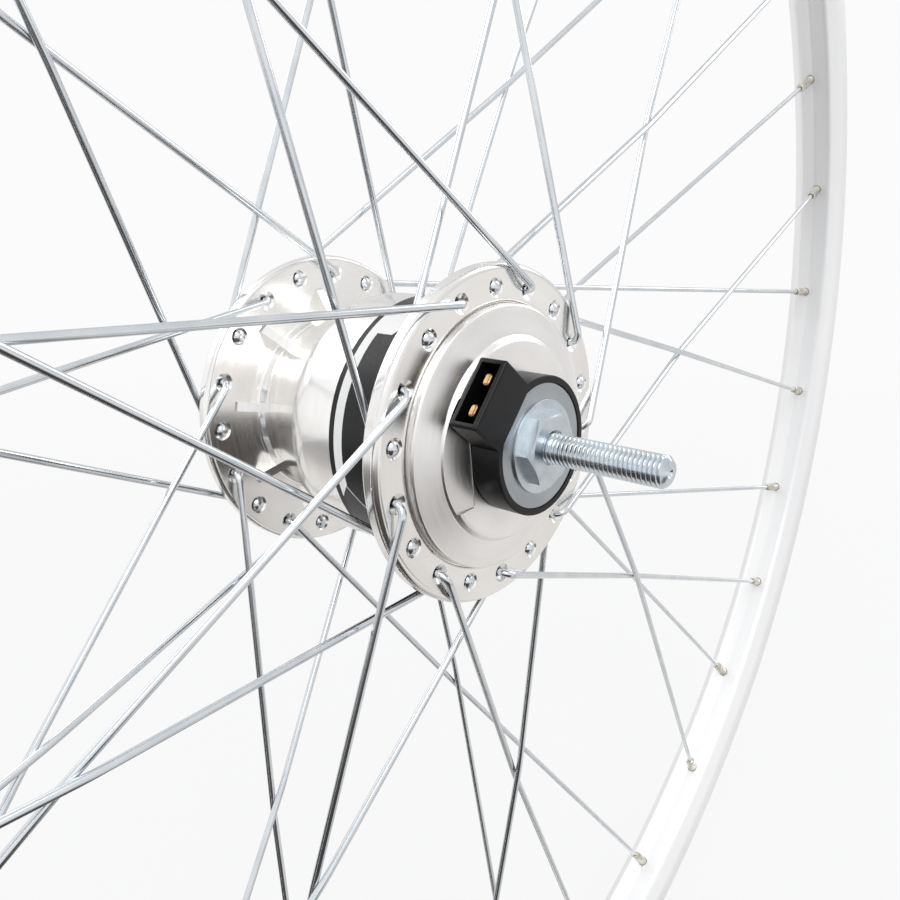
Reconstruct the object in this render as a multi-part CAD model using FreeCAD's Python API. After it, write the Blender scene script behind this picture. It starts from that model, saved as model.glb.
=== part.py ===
"""Dynamo front wheel: a 36-spoke 622 rim laced round a hub dynamo on a solid axle.

Millimetres. The axle lies along Y, the connector side is at negative Y, Z is up and the
origin is the wheel's centre. Angles round the axle are in degrees from +X towards +Z.
"""
import math
import os

import FreeCAD
import Part

Vector = FreeCAD.Vector
ORIGIN = Vector(0, 0, 0)
AXLE = Vector(0, 1, 0)
CONNECTOR = -1  # side of the electrical connector, at negative Y
PLAIN = 1  # the other side

# Clearances
fit_gap = 0.05  # between a shaft and the bore round it
part_gap = 0.3  # between pieces that turn past each other
contact_gap = 0.1  # between pieces that rest on each other on round faces

# Axle and what is screwed on it
over_locknut = 100.0  # between the two faces that the fork's ends close on
axle_length = 164.0
axle_radius = 4.0
axle_chamfer = 1.1
thread_runout = 0.5  # from a locknut's face to where the thread for the fork's nut begins
shank_relief = 0.05  # how much thinner the axle is between the locknuts
thread_pitch_radius = 3.6  # size that the thread is drawn at inside a locknut
centre_hole_radius = 1.2
centre_hole_depth = 1.6
wire_groove_width = 3.4
wire_groove_floor = 2.1
locknut_flats = 17.0
locknut_thickness = 3.0
locknut_chamfer = 0.7
locknut_turn = 3.3
washer_radius = 12.1
washer_thickness = 0.7
plain_spacer_radius = 7.6
plain_spacer_thickness = 3.0
plain_washer_radius = 9.6
plain_washer_thickness = 1.2

# Connector housing, its cover disc and its two blades
disc_radius = 16.2
disc_thickness = 0.9
disc_flat = 14.6  # distance of the disc's straight edge from the axle
housing_radius = 18.0
housing_lip = 0.25  # how far its rim stands past the disc
connector_angle = 141.5
block_half_length = 9.4
block_reach = 26.5
block_edge = 0.7
housing_edge = 0.4
wire_channel_depth = 2.6
socket_wall = 1.35
socket_depth = 7.0
blade_spacing = 8.4
blade_width = 3.6
blade_thickness = 2.3
blade_recess = 0.9
blade_root = 17.6
wire_radius = 0.6
wire_spacing = 1.6

# Bearings
ball_radius = 2.38
balls_per_bearing = 10
ball_circle = 9.7
race_gap = 0.06
cage_half_width = 0.6
cage_back = 3.1  # how far the cage reaches outwards from the ball centres
cup_outer_radius = 13.2
cup_back = 3.6  # how far the cup reaches inwards from the ball centres
cup_shoulder = 2.0
cone_neck_radius = 8.0
cone_tip_radius = 6.6
cone_tip_reach = 3.2  # how far the cone reaches inwards from the ball centres
cone_root_reach = 1.2
cone_root_drop = 0.95
seal_thickness = 1.2
connector_bearing = 31.6  # distance of the ball centres from the wheel's centre
plain_bearing = 34.6

# Hub shell
connector_flange_face = 32.6
connector_flange_thickness = 4.6
connector_flange_chamfer = 1.7
plain_flange_inner = 35.0
plain_flange_thickness = 3.8
spoke_circle_rise = 4.0  # from the barrel out to the circle of the spoke holes
connector_flange_rim = 6.0  # from that circle out to the flange's edge
plain_flange_rim = 5.2
spoke_hole_radius = 1.3
countersink_radius = 2.65
countersink_depth = 1.0
seat_edge = 0.8  # rounding of the shell's edge round the cap
barrel_radius = 35.0
barrel_taper_start = 8.0
barrel_fillet = 14.0
neck_radius = 25.5
neck_foot = 3.0  # from the end of the taper to the far flange
neck_flare = 1.4
shell_wall = 2.6
cap_seat_depth = 1.2
rib_count = 9
rib_phase = 13.4
rib_thickness = 2.6
rib_height = 6.0

# End cap on the connector side
cap_inset = 0.1  # how much smaller the cap is than the barrel
cap_stand = 1.8  # how far the cap's side stands past the near flange
cap_edge = 0.9
cap_wall = 3.0
cap_spare = 0.6  # by how much the boss's wall is thicker
cap_spigot_length = 3.8
cap_seat_gap = 0.02
boss_radius = 27.0
boss_rise = 3.45
boss_shoulder = 1.75
boss_flare = 1.0
boss_draft = 1.2
boss_foot_fillet = 1.5
boss_edge_fillet = 1.2
spanner_flat_distance = 17.5
spanner_flat_angle = 187.0
spanner_flat_reach = (-17.0, 12.0)  # from its end behind the connector to its lower end
spanner_flat_depth = 0.2
spanner_flat_tilt = 5.5

# Dust cap on the plain side
dust_cap_radius = 17.6
dust_cap_wall = 0.6
neck_lip_radius = 16.9
neck_lip_rise = 1.7

# Label band round the barrel
label_edge = 5.6  # distance of its far edge from the wheel's centre
label_thickness = 0.15
label_gap = 0.9  # between the label and the near flange
label_bond = 0.02

# Generator
magnet_count = 14
magnet_gap_angle = 0.8
magnet_thickness = 2.9
yoke_thickness = 1.7
magnet_from = -23.0
magnet_to = 4.0
yoke_from = -25.0
yoke_to = 5.5
air_gap = 0.4
claw_count = 14
claw_angle = 9.6
claw_thickness = 2.2
claw_plate_thickness = 2.2
claw_clearance = 0.8
claw_tip_gap = 1.0
stator_from = -24.6
stator_to = 7.4
core_radius = 11.2
bobbin_wall = 1.0
coil_gap = 1.7  # from the winding to the claws over it
stator_nut_flats = 15.0
stator_nut_thickness = 2.8

# Rim
bead_seat_radius = 311.0
rim_edge_rise = 6.5  # from the bead seat out to the rim's edge
rim_bed_drop = 7.0  # from the bead seat in to the rim's inner face
rim_half_width = 11.5
rim_wall = 2.2
hook_half_opening = 9.3
well_half_width = 6.6
rim_hole_gap = 0.2
valve_hole_radius = 4.25
tape_thickness = 0.8
tape_half_width = 6.0

# Spokes and nipples
spoke_count = 36
crosses_angle = 60.0  # from a hub hole to its rim hole, for three crosses
spoke_radius = 1.0
spoke_weave = 1.13  # half the distance between two spokes where they touch
spoke_kink_radius = 80.0
head_radius = 1.9
head_height = 1.1
head_sink = 0.2  # how far a head's underside lies in its countersink
elbow_inside_radius = 2.4
elbow_inside_stand = 1.9
elbow_outside_radius = 2.9
elbow_outside_stand = 2.6
nipple_stagger = 1.1
nipple_length = 12.5
nipple_radius = 1.95
nipple_square = 3.3
nipple_square_length = 4.8
nipple_head_radius = 3.0
nipple_head_height = 1.6
nipple_bore_gap = 0.1
connector_hub_phase = 13.1
plain_hub_phase = 3.4
rim_phase = 2.7

# Worked out from the sizes above
locknut_face = over_locknut / 2
locknut_inner = locknut_face - locknut_thickness
thread_start = locknut_face + thread_runout
housing_front = locknut_inner - washer_thickness
disc_inner = housing_front - disc_thickness
plain_flange_outer = plain_flange_inner + plain_flange_thickness
neck_lip_end = plain_flange_outer + neck_lip_rise
connector_flange_inner = connector_flange_face - connector_flange_thickness
spoke_circle = barrel_radius + spoke_circle_rise
connector_flange_radius = spoke_circle + connector_flange_rim
plain_flange_radius = spoke_circle + plain_flange_rim
shell_bore = barrel_radius - shell_wall
cap_radius = barrel_radius - cap_inset
cap_face = connector_flange_face + cap_stand
boss_face = cap_face + boss_rise
housing_rear = boss_face + part_gap
block_front = housing_front + housing_lip
block_middle = (housing_rear + block_front) / 2
wire_entry = stator_from + claw_plate_thickness + bobbin_wall + 2 * wire_radius + 0.2
yoke_inner = shell_bore - fit_gap - yoke_thickness
magnet_outer = yoke_inner - fit_gap
magnet_inner = magnet_outer - magnet_thickness
stator_radius = magnet_inner - air_gap
coil_radius = stator_radius - claw_thickness - coil_gap
rim_outer_radius = bead_seat_radius + rim_edge_rise
rim_inner_radius = bead_seat_radius - rim_bed_drop
well_floor_radius = rim_inner_radius + rim_wall
nipple_seat_radius = well_floor_radius + 3 * rim_hole_gap
tape_radius = nipple_seat_radius + nipple_head_height + rim_hole_gap
spokes_per_group = spoke_count // 4
valve_angle = 90.0 - (connector_hub_phase - plain_hub_phase) / 5


def polar(radius, angle, y=0.0):
    """Point at a radius and angle round the axle, at a place along it."""
    turn = math.radians(angle)
    return Vector(radius * math.cos(turn), y, radius * math.sin(turn))


def turned(shape, angle):
    """Copy of a shape, turned round the axle from +X towards +Z."""
    copy = shape.copy()
    copy.rotate(ORIGIN, AXLE, -angle)
    return copy


def rounded_wire(corners):
    """Closed wire through corners given as (x, y, fillet radius)."""
    points = [Vector(x, y, 0) for x, y, _ in corners]
    ends = []
    for i, (_, _, radius) in enumerate(corners):
        here = points[i]
        to_last = (points[i - 1] - here).normalize()
        to_next = (points[(i + 1) % len(points)] - here).normalize()
        if radius == 0:
            ends.append((here, None, here))
            continue
        half = to_last.getAngle(to_next) / 2
        reach = radius / math.tan(half)
        middle = here + (to_last + to_next).normalize() * (radius / math.sin(half) - radius)
        ends.append((here + to_last * reach, middle, here + to_next * reach))
    edges = []
    for i, (start, middle, end) in enumerate(ends):
        if middle:
            edges.append(Part.Arc(start, middle, end).toShape())
        following = ends[(i + 1) % len(ends)][0]
        if end.distanceToPoint(following) > 1e-6:
            edges.append(Part.LineSegment(end, following).toShape())
    return Part.Wire(edges)


def lathe(corners):
    """Solid turned round the axle from corners (radius, y, fillet), all at y as given."""
    solid = Part.Face(rounded_wire(corners)).revolve(ORIGIN, AXLE, 360)
    return solid if solid.Volume > 0 else solid.reversed()


def ring(inner, outer, y_a, y_b, edge=0.0):
    """Plain ring round the axle between two places along it, with its edges rounded."""
    return lathe([(inner, y_a, 0), (outer, y_a, edge), (outer, y_b, edge), (inner, y_b, 0)])


def disc(radius, y_a, y_b):
    """Plain disc round the axle."""
    low = min(y_a, y_b)
    return Part.makeCylinder(radius, abs(y_b - y_a), Vector(0, low, 0), AXLE)


def radial_box(near, far, half_width, y_a, y_b, angle, edge=0.0):
    """Box that runs outwards from the axle between two distances, along one angle."""
    low = min(y_a, y_b)
    box = Part.makeBox(far - near, abs(y_b - y_a), 2 * half_width, Vector(near, low, -half_width))
    if edge:
        box = box.makeFillet(edge, box.Edges)
    return turned(box, angle)


def hexagon(flats, y_a, y_b, chamfer=0.0):
    """Hexagonal prism on the axle with chamfered corners."""
    low, high = min(y_a, y_b), max(y_a, y_b)
    corner = flats / 2 / math.cos(math.radians(30))
    points = [polar(corner, 60 * i, low) for i in range(7)]
    prism = Part.Face(Part.makePolygon(points)).extrude(Vector(0, high - low, 0))
    if chamfer:
        drop = chamfer * math.tan(math.radians(30))
        barrel = lathe(
            [
                (0, low, 0),
                (corner - chamfer, low, 0),
                (corner, low + drop, 0),
                (corner, high - drop, 0),
                (corner - chamfer, high, 0),
                (0, high, 0),
            ]
        )
        prism = prism.common(barrel)
    return prism


def path_through(points, radii):
    """Wire of straight runs through points, with an arc of each radius at the inner ones."""
    edges = []
    start = points[0]
    for i, radius in enumerate(radii, start=1):
        corner = points[i]
        back = (points[i - 1] - corner).normalize()
        ahead = (points[i + 1] - corner).normalize()
        half = back.getAngle(ahead) / 2
        reach = radius / math.tan(half)
        middle = corner + (back + ahead).normalize() * (radius / math.sin(half) - radius)
        arc_start = corner + back * reach
        arc_end = corner + ahead * reach
        edges.append(Part.LineSegment(start, arc_start).toShape())
        edges.append(Part.Arc(arc_start, middle, arc_end).toShape())
        start = arc_end
    edges.append(Part.LineSegment(start, points[-1]).toShape())
    return Part.Wire(edges)


def tube(points, radii, radius):
    """Round wire along a path of straight runs and arcs."""
    path = path_through(points, radii)
    section = Part.Wire(Part.makeCircle(radius, points[0], points[1] - points[0]))
    solid = path.makePipeShell([section], True, False)
    return solid if solid.Volume > 0 else solid.reversed()


def aligned(shape, place, direction):
    """Copy of a shape made along +Z, set at a place and pointed along a direction."""
    copy = shape.copy()
    copy.Placement = FreeCAD.Placement(place, FreeCAD.Rotation(Vector(0, 0, 1), direction))
    return copy


def group(solids):
    """One compound of separate solids."""
    return Part.makeCompound(solids)


# Axle, nuts, washers


def make_axle():
    """Solid axle: plain at its thread's outer size, with a groove for the two wires."""
    half = axle_length / 2
    shank = axle_radius - shank_relief
    axle = lathe(
        [
            (0, -half, 0),
            (axle_radius - axle_chamfer, -half, 0),
            (axle_radius, -half + axle_chamfer, 0),
            (axle_radius, -thread_start, 0),
            (thread_pitch_radius, -thread_start, 0),
            (thread_pitch_radius, -locknut_inner, 0),
            (shank, -locknut_inner, 0),
            (shank, locknut_inner, 0),
            (thread_pitch_radius, locknut_inner, 0),
            (thread_pitch_radius, thread_start, 0),
            (axle_radius, thread_start, 0),
            (axle_radius, half - axle_chamfer, 0),
            (axle_radius - axle_chamfer, half, 0),
            (0, half, 0),
        ]
    )
    for side in (CONNECTOR, PLAIN):
        mouth = Vector(0, side * half, 0)
        dimple = Part.makeCone(centre_hole_radius, 0, centre_hole_depth, mouth, AXLE * -side)
        axle = axle.cut(dimple)
    groove = radial_box(
        wire_groove_floor,
        axle_radius + 1,
        wire_groove_width / 2,
        -disc_inner,
        wire_entry + wire_groove_width / 2,
        connector_angle,
    )
    return axle.cut(groove)


def make_locknut(side):
    """Chamfered hexagonal locknut whose outer face closes on the fork end."""
    nut = hexagon(locknut_flats, side * locknut_inner, side * locknut_face, locknut_chamfer)
    mouth = axle_radius + locknut_chamfer
    bore = lathe(
        [
            (0, side * locknut_inner, 0),
            (thread_pitch_radius + fit_gap, side * locknut_inner, 0),
            (thread_pitch_radius + fit_gap, side * (locknut_face - locknut_chamfer), 0),
            (mouth, side * locknut_face, 0),
            (0, side * locknut_face, 0),
        ]
    )
    return turned(nut.cut(bore), locknut_turn)


def make_terminal_disc():
    """Pressed steel disc that closes the connector housing, with one straight edge."""
    plate = ring(axle_radius + fit_gap, disc_radius, -housing_front, -disc_inner, disc_thickness / 4)
    reach = housing_radius + 1
    flat = radial_box(disc_flat, reach, reach, -housing_front - 1, -disc_inner + 1, connector_angle)
    return plate.cut(flat)


def make_stator_nuts():
    """Two hexagonal nuts that clamp the stator on the axle."""
    nuts = []
    for edge, way in ((stator_from, -1), (stator_to, 1)):
        nut = hexagon(stator_nut_flats, edge, edge + way * stator_nut_thickness, locknut_chamfer)
        reach = 2 * stator_nut_thickness
        nuts.append(nut.cut(disc(axle_radius + fit_gap, edge - reach, edge + reach)))
    return group(nuts)


# Connector


def socket_frame(distance, along, y):
    """Point at a distance from the axle and a place along the block, both in its own angle."""
    outwards = polar(1, connector_angle)
    across = polar(1, connector_angle - 90)
    return outwards * distance + across * along + Vector(0, y, 0)


def make_connector_housing():
    """Black ring round the axle with the socket block on its rim."""
    front = block_front
    body = ring(axle_radius + fit_gap, housing_radius, -housing_rear, -front, housing_edge)
    block = radial_box(
        axle_radius + 2, block_reach, block_half_length, -housing_rear, -front, connector_angle, block_edge
    )
    body = body.fuse(block).removeSplitter()
    recess = disc(disc_radius + fit_gap, -front - 1, -disc_inner)
    beyond = radial_box(
        disc_flat + fit_gap, block_reach, housing_radius, -front - 2, -disc_inner + 1, connector_angle
    )
    body = body.cut(recess.cut(beyond))
    socket = radial_box(
        block_reach - socket_depth,
        block_reach + 2,
        block_half_length - socket_wall,
        -housing_rear - socket_wall,
        -front + socket_wall,
        connector_angle,
    )
    body = body.cut(socket)
    low = -block_middle - wire_channel_depth / 2
    high = low + wire_channel_depth
    room_half = blade_spacing / 2 + blade_width / 2
    wire_room = radial_box(0, blade_root + 1, room_half, low, high, connector_angle)
    core = disc(axle_radius + fit_gap + block_edge, -front, -housing_rear)
    body = body.cut(wire_room.cut(core))
    channel = radial_box(0, axle_radius + 3, wire_groove_width / 2, low, high, connector_angle)
    body = body.cut(channel)
    for along in (-blade_spacing / 2, blade_spacing / 2):
        body = body.cut(turned(blade_block(along, fit_gap), connector_angle))
    return body.cut(disc(axle_radius + fit_gap, -front - 1, -housing_rear + 1))


def blade_block(along, grow=0.0):
    """Square-edged block of one blade, made larger on every side by an amount."""
    length = block_reach - blade_recess - blade_root
    block = Part.makeBox(length + 2 * grow, blade_thickness + 2 * grow, blade_width + 2 * grow)
    corner = Vector(blade_root, -block_middle - blade_thickness / 2, -along - blade_width / 2)
    block.translate(corner - Vector(grow, grow, grow))
    return block


def make_contact_blades():
    """Two brass blades that stand in the socket, round along their edges and at their tips."""
    tip = block_reach - blade_recess
    blades = []
    for along in (-blade_spacing / 2, blade_spacing / 2):
        blade = blade_block(along)
        long_edges = [e for e in blade.Edges if abs(e.tangentAt(0).x) > 0.9]
        blade = blade.makeFillet(blade_thickness * 0.45, long_edges)
        tip_edges = [e for e in blade.Edges if e.CenterOfMass.x > tip - fit_gap]
        blade = blade.makeFillet(blade_thickness * 0.3, tip_edges)
        blades.append(turned(blade, connector_angle))
    return group(blades)


def make_lead_wires():
    """Two insulated wires from the coil, along the axle's groove, to the blades."""
    deep = (wire_groove_floor + axle_radius) / 2 + 0.1
    wires = []
    for sign in (-1, 1):
        near = sign * wire_spacing / 2
        far = sign * blade_spacing / 2
        points = [
            socket_frame(core_radius + bobbin_wall + 0.2, near, wire_entry),
            socket_frame(deep, near, wire_entry),
            socket_frame(deep, near, -block_middle),
            socket_frame(axle_radius + 4.5, near, -block_middle),
            socket_frame(blade_root - 3, far, -block_middle),
            socket_frame(blade_root - 0.1, far, -block_middle),
        ]
        wires.append(tube(points, [1.5, 1.5, 2.0, 1.5], wire_radius))
    return group(wires)


# Bearings


def race_torus(side, place):
    """Ring that the balls sweep, a little larger than they are."""
    return Part.makeTorus(ball_circle, ball_radius + race_gap, Vector(0, side * place, 0), AXLE)


def bearing_lathe(side, place, corners):
    """Turned piece of a bearing: corners are (radius, distance outwards from the balls)."""
    return lathe([(radius, side * (place + out), 0) for radius, out in corners])


def make_cone(side, place, end):
    """Bearing cone screwed on the axle, with its neck out to what it is clamped by."""
    bore = axle_radius + fit_gap
    neck = end - place
    inner = ball_circle - cone_root_drop
    cone = bearing_lathe(
        side,
        place,
        [
            (bore, -cone_tip_reach),
            (cone_tip_radius, -cone_tip_reach),
            (inner, -cone_root_reach),
            (inner, cage_back + part_gap),
            (ball_circle + 0.4, cage_back + part_gap),
            (ball_circle + 0.4, cage_back + part_gap + 0.6),
            (cone_neck_radius, cage_back + part_gap + 0.9),
            (cone_neck_radius, neck),
            (bore, neck),
        ],
    )
    return cone.cut(race_torus(side, place))


def make_cup(side, place):
    """Hardened cup pressed in the hub."""
    cup = bearing_lathe(
        side,
        place,
        [
            (ball_circle - 0.6, -cup_back),
            (cup_outer_radius, -cup_back),
            (cup_outer_radius, 2.0),
            (ball_circle + 0.95, 2.0),
            (ball_circle + 0.95, -1.0),
            (ball_circle - 0.6, -1.0),
        ],
    )
    return cup.cut(race_torus(side, place))


def make_balls(side, place):
    """Balls of one bearing."""
    step = 360 / balls_per_bearing
    centres = [polar(ball_circle, i * step, side * place) for i in range(balls_per_bearing)]
    return group([Part.makeSphere(ball_radius, centre) for centre in centres])


def make_cage(side, place):
    """Ring with a pocket for each ball."""
    cage = bearing_lathe(
        side,
        place,
        [
            (ball_circle - cage_half_width, -0.5),
            (ball_circle + cage_half_width, -0.5),
            (ball_circle + cage_half_width, cage_back),
            (ball_circle - cage_half_width, cage_back),
        ],
    )
    step = 360 / balls_per_bearing
    for i in range(balls_per_bearing):
        start = polar(ball_circle - ball_radius, i * step, side * place)
        pocket = Part.makeCylinder(ball_radius + contact_gap, 2 * ball_radius, start, polar(1, i * step))
        cage = cage.cut(pocket)
    return cage


def make_seal(side, inner_face):
    """Rubber ring in the hub that closes on the cone's neck."""
    inner = cone_neck_radius + part_gap
    outer = cup_outer_radius - fit_gap
    return ring(inner, outer, side * inner_face, side * (inner_face + seal_thickness), seal_thickness / 4)


# Hub shell and its covers


def spoke_hole(y_face_a, y_face_b, angle):
    """Cutter for one spoke hole, countersunk on both faces of a flange."""
    low, high = min(y_face_a, y_face_b), max(y_face_a, y_face_b)
    cutter = Part.makeCylinder(spoke_hole_radius, high - low + 2, polar(spoke_circle, angle, low - 1), AXLE)
    for y, way in ((low, 1), (high, -1)):
        mouth = polar(spoke_circle, angle, y)
        sink = Part.makeCone(countersink_radius, spoke_hole_radius, countersink_depth, mouth, AXLE * way)
        cutter = cutter.fuse(sink)
    return cutter


def make_hub_shell():
    """Cast aluminium shell: both spoke flanges, the barrel and the neck of the far bearing."""
    near = -connector_flange_face
    near_inner = -connector_flange_inner
    far_end = neck_lip_end
    wall_start = plain_bearing - cup_back
    shell = lathe(
        [
            (cap_radius + part_gap, near, seat_edge),
            (connector_flange_radius, near, connector_flange_chamfer),
            (connector_flange_radius, near_inner, 0.8),
            (barrel_radius, near_inner, 0.8),
            (barrel_radius, barrel_taper_start, barrel_fillet),
            (neck_radius, plain_flange_inner - neck_foot, 2.4),
            (neck_radius + neck_flare, plain_flange_inner, 1.2),
            (plain_flange_radius, plain_flange_inner, 1.2),
            (plain_flange_radius, plain_flange_outer, 1.2),
            (neck_lip_radius + 3, plain_flange_outer, 0.6),
            (neck_lip_radius + 1, plain_flange_outer - 0.6, 0.2),
            (neck_lip_radius, plain_flange_outer - 0.6, 0.2),
            (neck_lip_radius, far_end, 0.3),
            (cup_outer_radius + fit_gap, far_end, 0),
            (cup_outer_radius + fit_gap, wall_start, 0),
            (cup_outer_radius - cup_shoulder, wall_start, 0),
            (cup_outer_radius - cup_shoulder, wall_start - shell_wall, 0),
            (neck_radius - 2 * shell_wall, wall_start - shell_wall, 2),
            (shell_bore, barrel_taper_start, 6),
            (shell_bore, near + cap_seat_depth, 0),
            (cap_radius + part_gap, near + cap_seat_depth, 0),
        ]
    )
    ribs = [make_rib(rib_phase + i * 360 / rib_count) for i in range(rib_count)]
    shell = shell.fuse(ribs)
    per_flange = spoke_count // 2
    step = 360 / per_flange
    holes = []
    for i in range(per_flange):
        holes.append(spoke_hole(near, near_inner, connector_hub_phase + i * step))
        holes.append(spoke_hole(plain_flange_inner, plain_flange_outer, plain_hub_phase + i * step))
    return shell.cut(holes)


def make_rib(angle):
    """Web between the neck and the far flange's inner face."""
    half = rib_thickness / 2
    root = neck_radius - 1
    face = plain_flange_inner + 0.5
    points = [
        Vector(root, face, -half),
        Vector(barrel_radius, face, -half),
        Vector(barrel_radius - 0.8, plain_flange_inner - 0.6, -half),
        Vector(root + 1.6, plain_flange_inner - rib_height, -half),
        Vector(root, plain_flange_inner - rib_height, -half),
    ]
    web = Part.Face(Part.makePolygon(points + [points[0]])).extrude(Vector(0, 0, rib_thickness))
    return turned(web, angle)


def make_end_cap():
    """Turned aluminium cap that closes the barrel and holds the near bearing's cup."""
    seat = connector_flange_face - cap_seat_depth
    inner_end = seat - cap_spigot_length
    cup_end = connector_bearing - cup_back - part_gap
    shoulder = cap_face + boss_rise - boss_shoulder
    back = boss_face - cap_wall - cap_spare
    cap = lathe(
        [
            (cap_radius, -seat - cap_seat_gap, 0),
            (cap_radius, -cap_face, cap_edge),
            (boss_radius + boss_flare, -shoulder, boss_foot_fillet),
            (boss_radius, -shoulder - 0.2, 0.5),
            (boss_radius - boss_draft, -boss_face, boss_edge_fillet),
            (cup_outer_radius + fit_gap, -boss_face, 0),
            (cup_outer_radius + fit_gap, -cup_end, 0),
            (cup_outer_radius + cap_wall, -cup_end, 0.5),
            (cup_outer_radius + cap_wall, -back, 1.2),
            (boss_radius - cap_wall - boss_draft, -back, 1.5),
            (shell_bore - cap_wall, -cap_face + cap_wall, 1.0),
            (shell_bore - cap_wall, -inner_end, 0.3),
            (shell_bore - fit_gap, -inner_end, 0.3),
            (shell_bore - fit_gap, -seat - cap_seat_gap, 0),
        ]
    )
    low = -boss_face - cap_wall
    high = -boss_face + spanner_flat_depth
    start, end = spanner_flat_reach
    drop = (cap_radius - spanner_flat_distance) * math.tan(math.radians(spanner_flat_tilt))
    corners = [
        Vector(spanner_flat_distance, low, start),
        Vector(cap_radius, low, start),
        Vector(cap_radius, high + drop, start),
        Vector(spanner_flat_distance, high, start),
    ]
    flat = Part.Face(Part.makePolygon(corners + [corners[0]])).extrude(Vector(0, 0, end - start))
    return cap.cut(turned(flat, spanner_flat_angle))


def make_dust_cap():
    """Pressed steel cover over the far bearing."""
    base = plain_flange_outer + part_gap
    top = neck_lip_end + dust_cap_wall + fit_gap
    return lathe(
        [
            (neck_lip_radius + fit_gap, base, 0),
            (dust_cap_radius, base, 0.1),
            (dust_cap_radius, top, 0.5),
            (cone_neck_radius + part_gap, top, 0.1),
            (cone_neck_radius + part_gap, top - dust_cap_wall, 0.1),
            (neck_lip_radius + fit_gap, top - dust_cap_wall, 0.1),
        ]
    )


def make_label():
    """Foil band wrapped round the barrel beside the near flange."""
    inner = barrel_radius + label_bond
    return ring(inner, inner + label_thickness, -connector_flange_inner + label_gap, -label_edge)


# Generator


def make_magnet_yoke():
    """Steel ring pressed in the barrel that carries the magnets."""
    return ring(yoke_inner, shell_bore - fit_gap, yoke_from, yoke_to)


def make_magnets():
    """Magnet segments glued in the yoke."""
    step = 360 / magnet_count
    blank = ring(magnet_inner, magnet_outer, magnet_from, magnet_to)
    segments = []
    for i in range(magnet_count):
        wedge = sector(barrel_radius, magnet_from, magnet_to, i * step, step - magnet_gap_angle)
        segments.append(blank.common(wedge))
    return group(segments)


def sector(radius, y_a, y_b, middle, width):
    """Wedge of a disc, given its middle angle and its width."""
    wide = radius / math.cos(math.radians(width / 2))
    points = [
        Vector(0, y_a, 0),
        polar(wide, middle - width / 2, y_a),
        polar(wide, middle + width / 2, y_a),
        Vector(0, y_a, 0),
    ]
    return Part.Face(Part.makePolygon(points)).extrude(Vector(0, y_b - y_a, 0))


def make_claw_plate(edge, way, phase):
    """Steel claw plate: a disc whose fingers reach over the coil towards the other plate."""
    face = edge + way * claw_plate_thickness
    plate_radius = stator_radius - claw_thickness - claw_clearance
    plate = disc(plate_radius, edge, face)
    tip = (stator_to if way > 0 else stator_from) - way * claw_tip_gap
    step = 360 / claw_count
    outer = ring(stator_radius - claw_thickness, stator_radius, edge, tip)
    roots = ring(plate_radius - 1, stator_radius, edge, face)
    for i in range(claw_count):
        low, high = min(edge, tip), max(edge, tip)
        wedge = sector(barrel_radius, low, high, phase + i * step, claw_angle)
        plate = plate.fuse([outer.common(wedge), roots.common(wedge)])
    plate = plate.removeSplitter().cut(disc(axle_radius + fit_gap, edge - 5, face + 5))
    if way > 0:
        plate = plate.cut(radial_box(0, axle_radius + 1, wire_groove_width / 2, edge, face, connector_angle))
    return plate


def make_stator_core():
    """Steel tube inside the coil, with a hole for the two wires."""
    near = stator_from + claw_plate_thickness
    far = stator_to - claw_plate_thickness
    return ring(axle_radius + fit_gap, core_radius, near, far).cut(wire_window())


def wire_window():
    """Opening that the wires take from the axle's groove to the coil."""
    y = wire_entry
    half = wire_spacing / 2 + wire_radius + 0.3
    return radial_box(0, core_radius + bobbin_wall + fit_gap, half, y - half, y + half, connector_angle)


def make_bobbin():
    """Moulded spool that the coil is wound on."""
    near = stator_from + claw_plate_thickness
    far = stator_to - claw_plate_thickness
    inner = core_radius + fit_gap
    outer = coil_radius + 0.4
    spool = lathe(
        [
            (inner, near, 0),
            (outer, near, 0),
            (outer, near + bobbin_wall, 0),
            (inner + bobbin_wall, near + bobbin_wall, 0),
            (inner + bobbin_wall, far - bobbin_wall, 0),
            (outer, far - bobbin_wall, 0),
            (outer, far, 0),
            (inner, far, 0),
        ]
    )
    return spool.cut(wire_window())


def make_coil():
    """Closed shape of the enamelled copper winding."""
    near = stator_from + claw_plate_thickness + bobbin_wall + fit_gap
    far = stator_to - claw_plate_thickness - bobbin_wall - fit_gap
    inner = core_radius + 2 * fit_gap + bobbin_wall + wire_radius
    return ring(inner, coil_radius, near, far, 0.8)


# Rim, tape, spokes, nipples


def rim_section():
    """Half of the rim's section, as corners (radius, y, fillet) from its middle outwards."""
    inner_bed = [(rim_inner_radius, 0, 0), (rim_inner_radius + 0.6, well_half_width + 0.4, 3)]
    side = [
        (bead_seat_radius - 1.0, rim_half_width, 3),
        (rim_outer_radius, rim_half_width, 0.6),
        (rim_outer_radius, hook_half_opening + 0.7, 0.6),
    ]
    hook = [
        (rim_outer_radius - 1.6, hook_half_opening, 0.6),
        (bead_seat_radius + 2.2, rim_half_width - 1.6, 0.6),
    ]
    well = [
        (bead_seat_radius, rim_half_width - 1.9, 0.5),
        (bead_seat_radius - 0.1, well_half_width + 1.4, 1.0),
        (well_floor_radius, well_half_width - 0.6, 1.5),
        (well_floor_radius, 0, 0),
    ]
    return inner_bed + side + hook + well


def make_rim(holes):
    """Single-wall aluminium rim with its spoke holes and its valve hole."""
    half = rim_section()
    mirrored = [(radius, -y, fillet) for radius, y, fillet in reversed(half[1:-1])]
    blank = lathe(half[1:-1] + [(well_floor_radius, 0, 0)] + mirrored + [(rim_inner_radius, 0, 0)])
    return blank.cut(holes + [valve_cutter(valve_hole_radius)])


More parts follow.
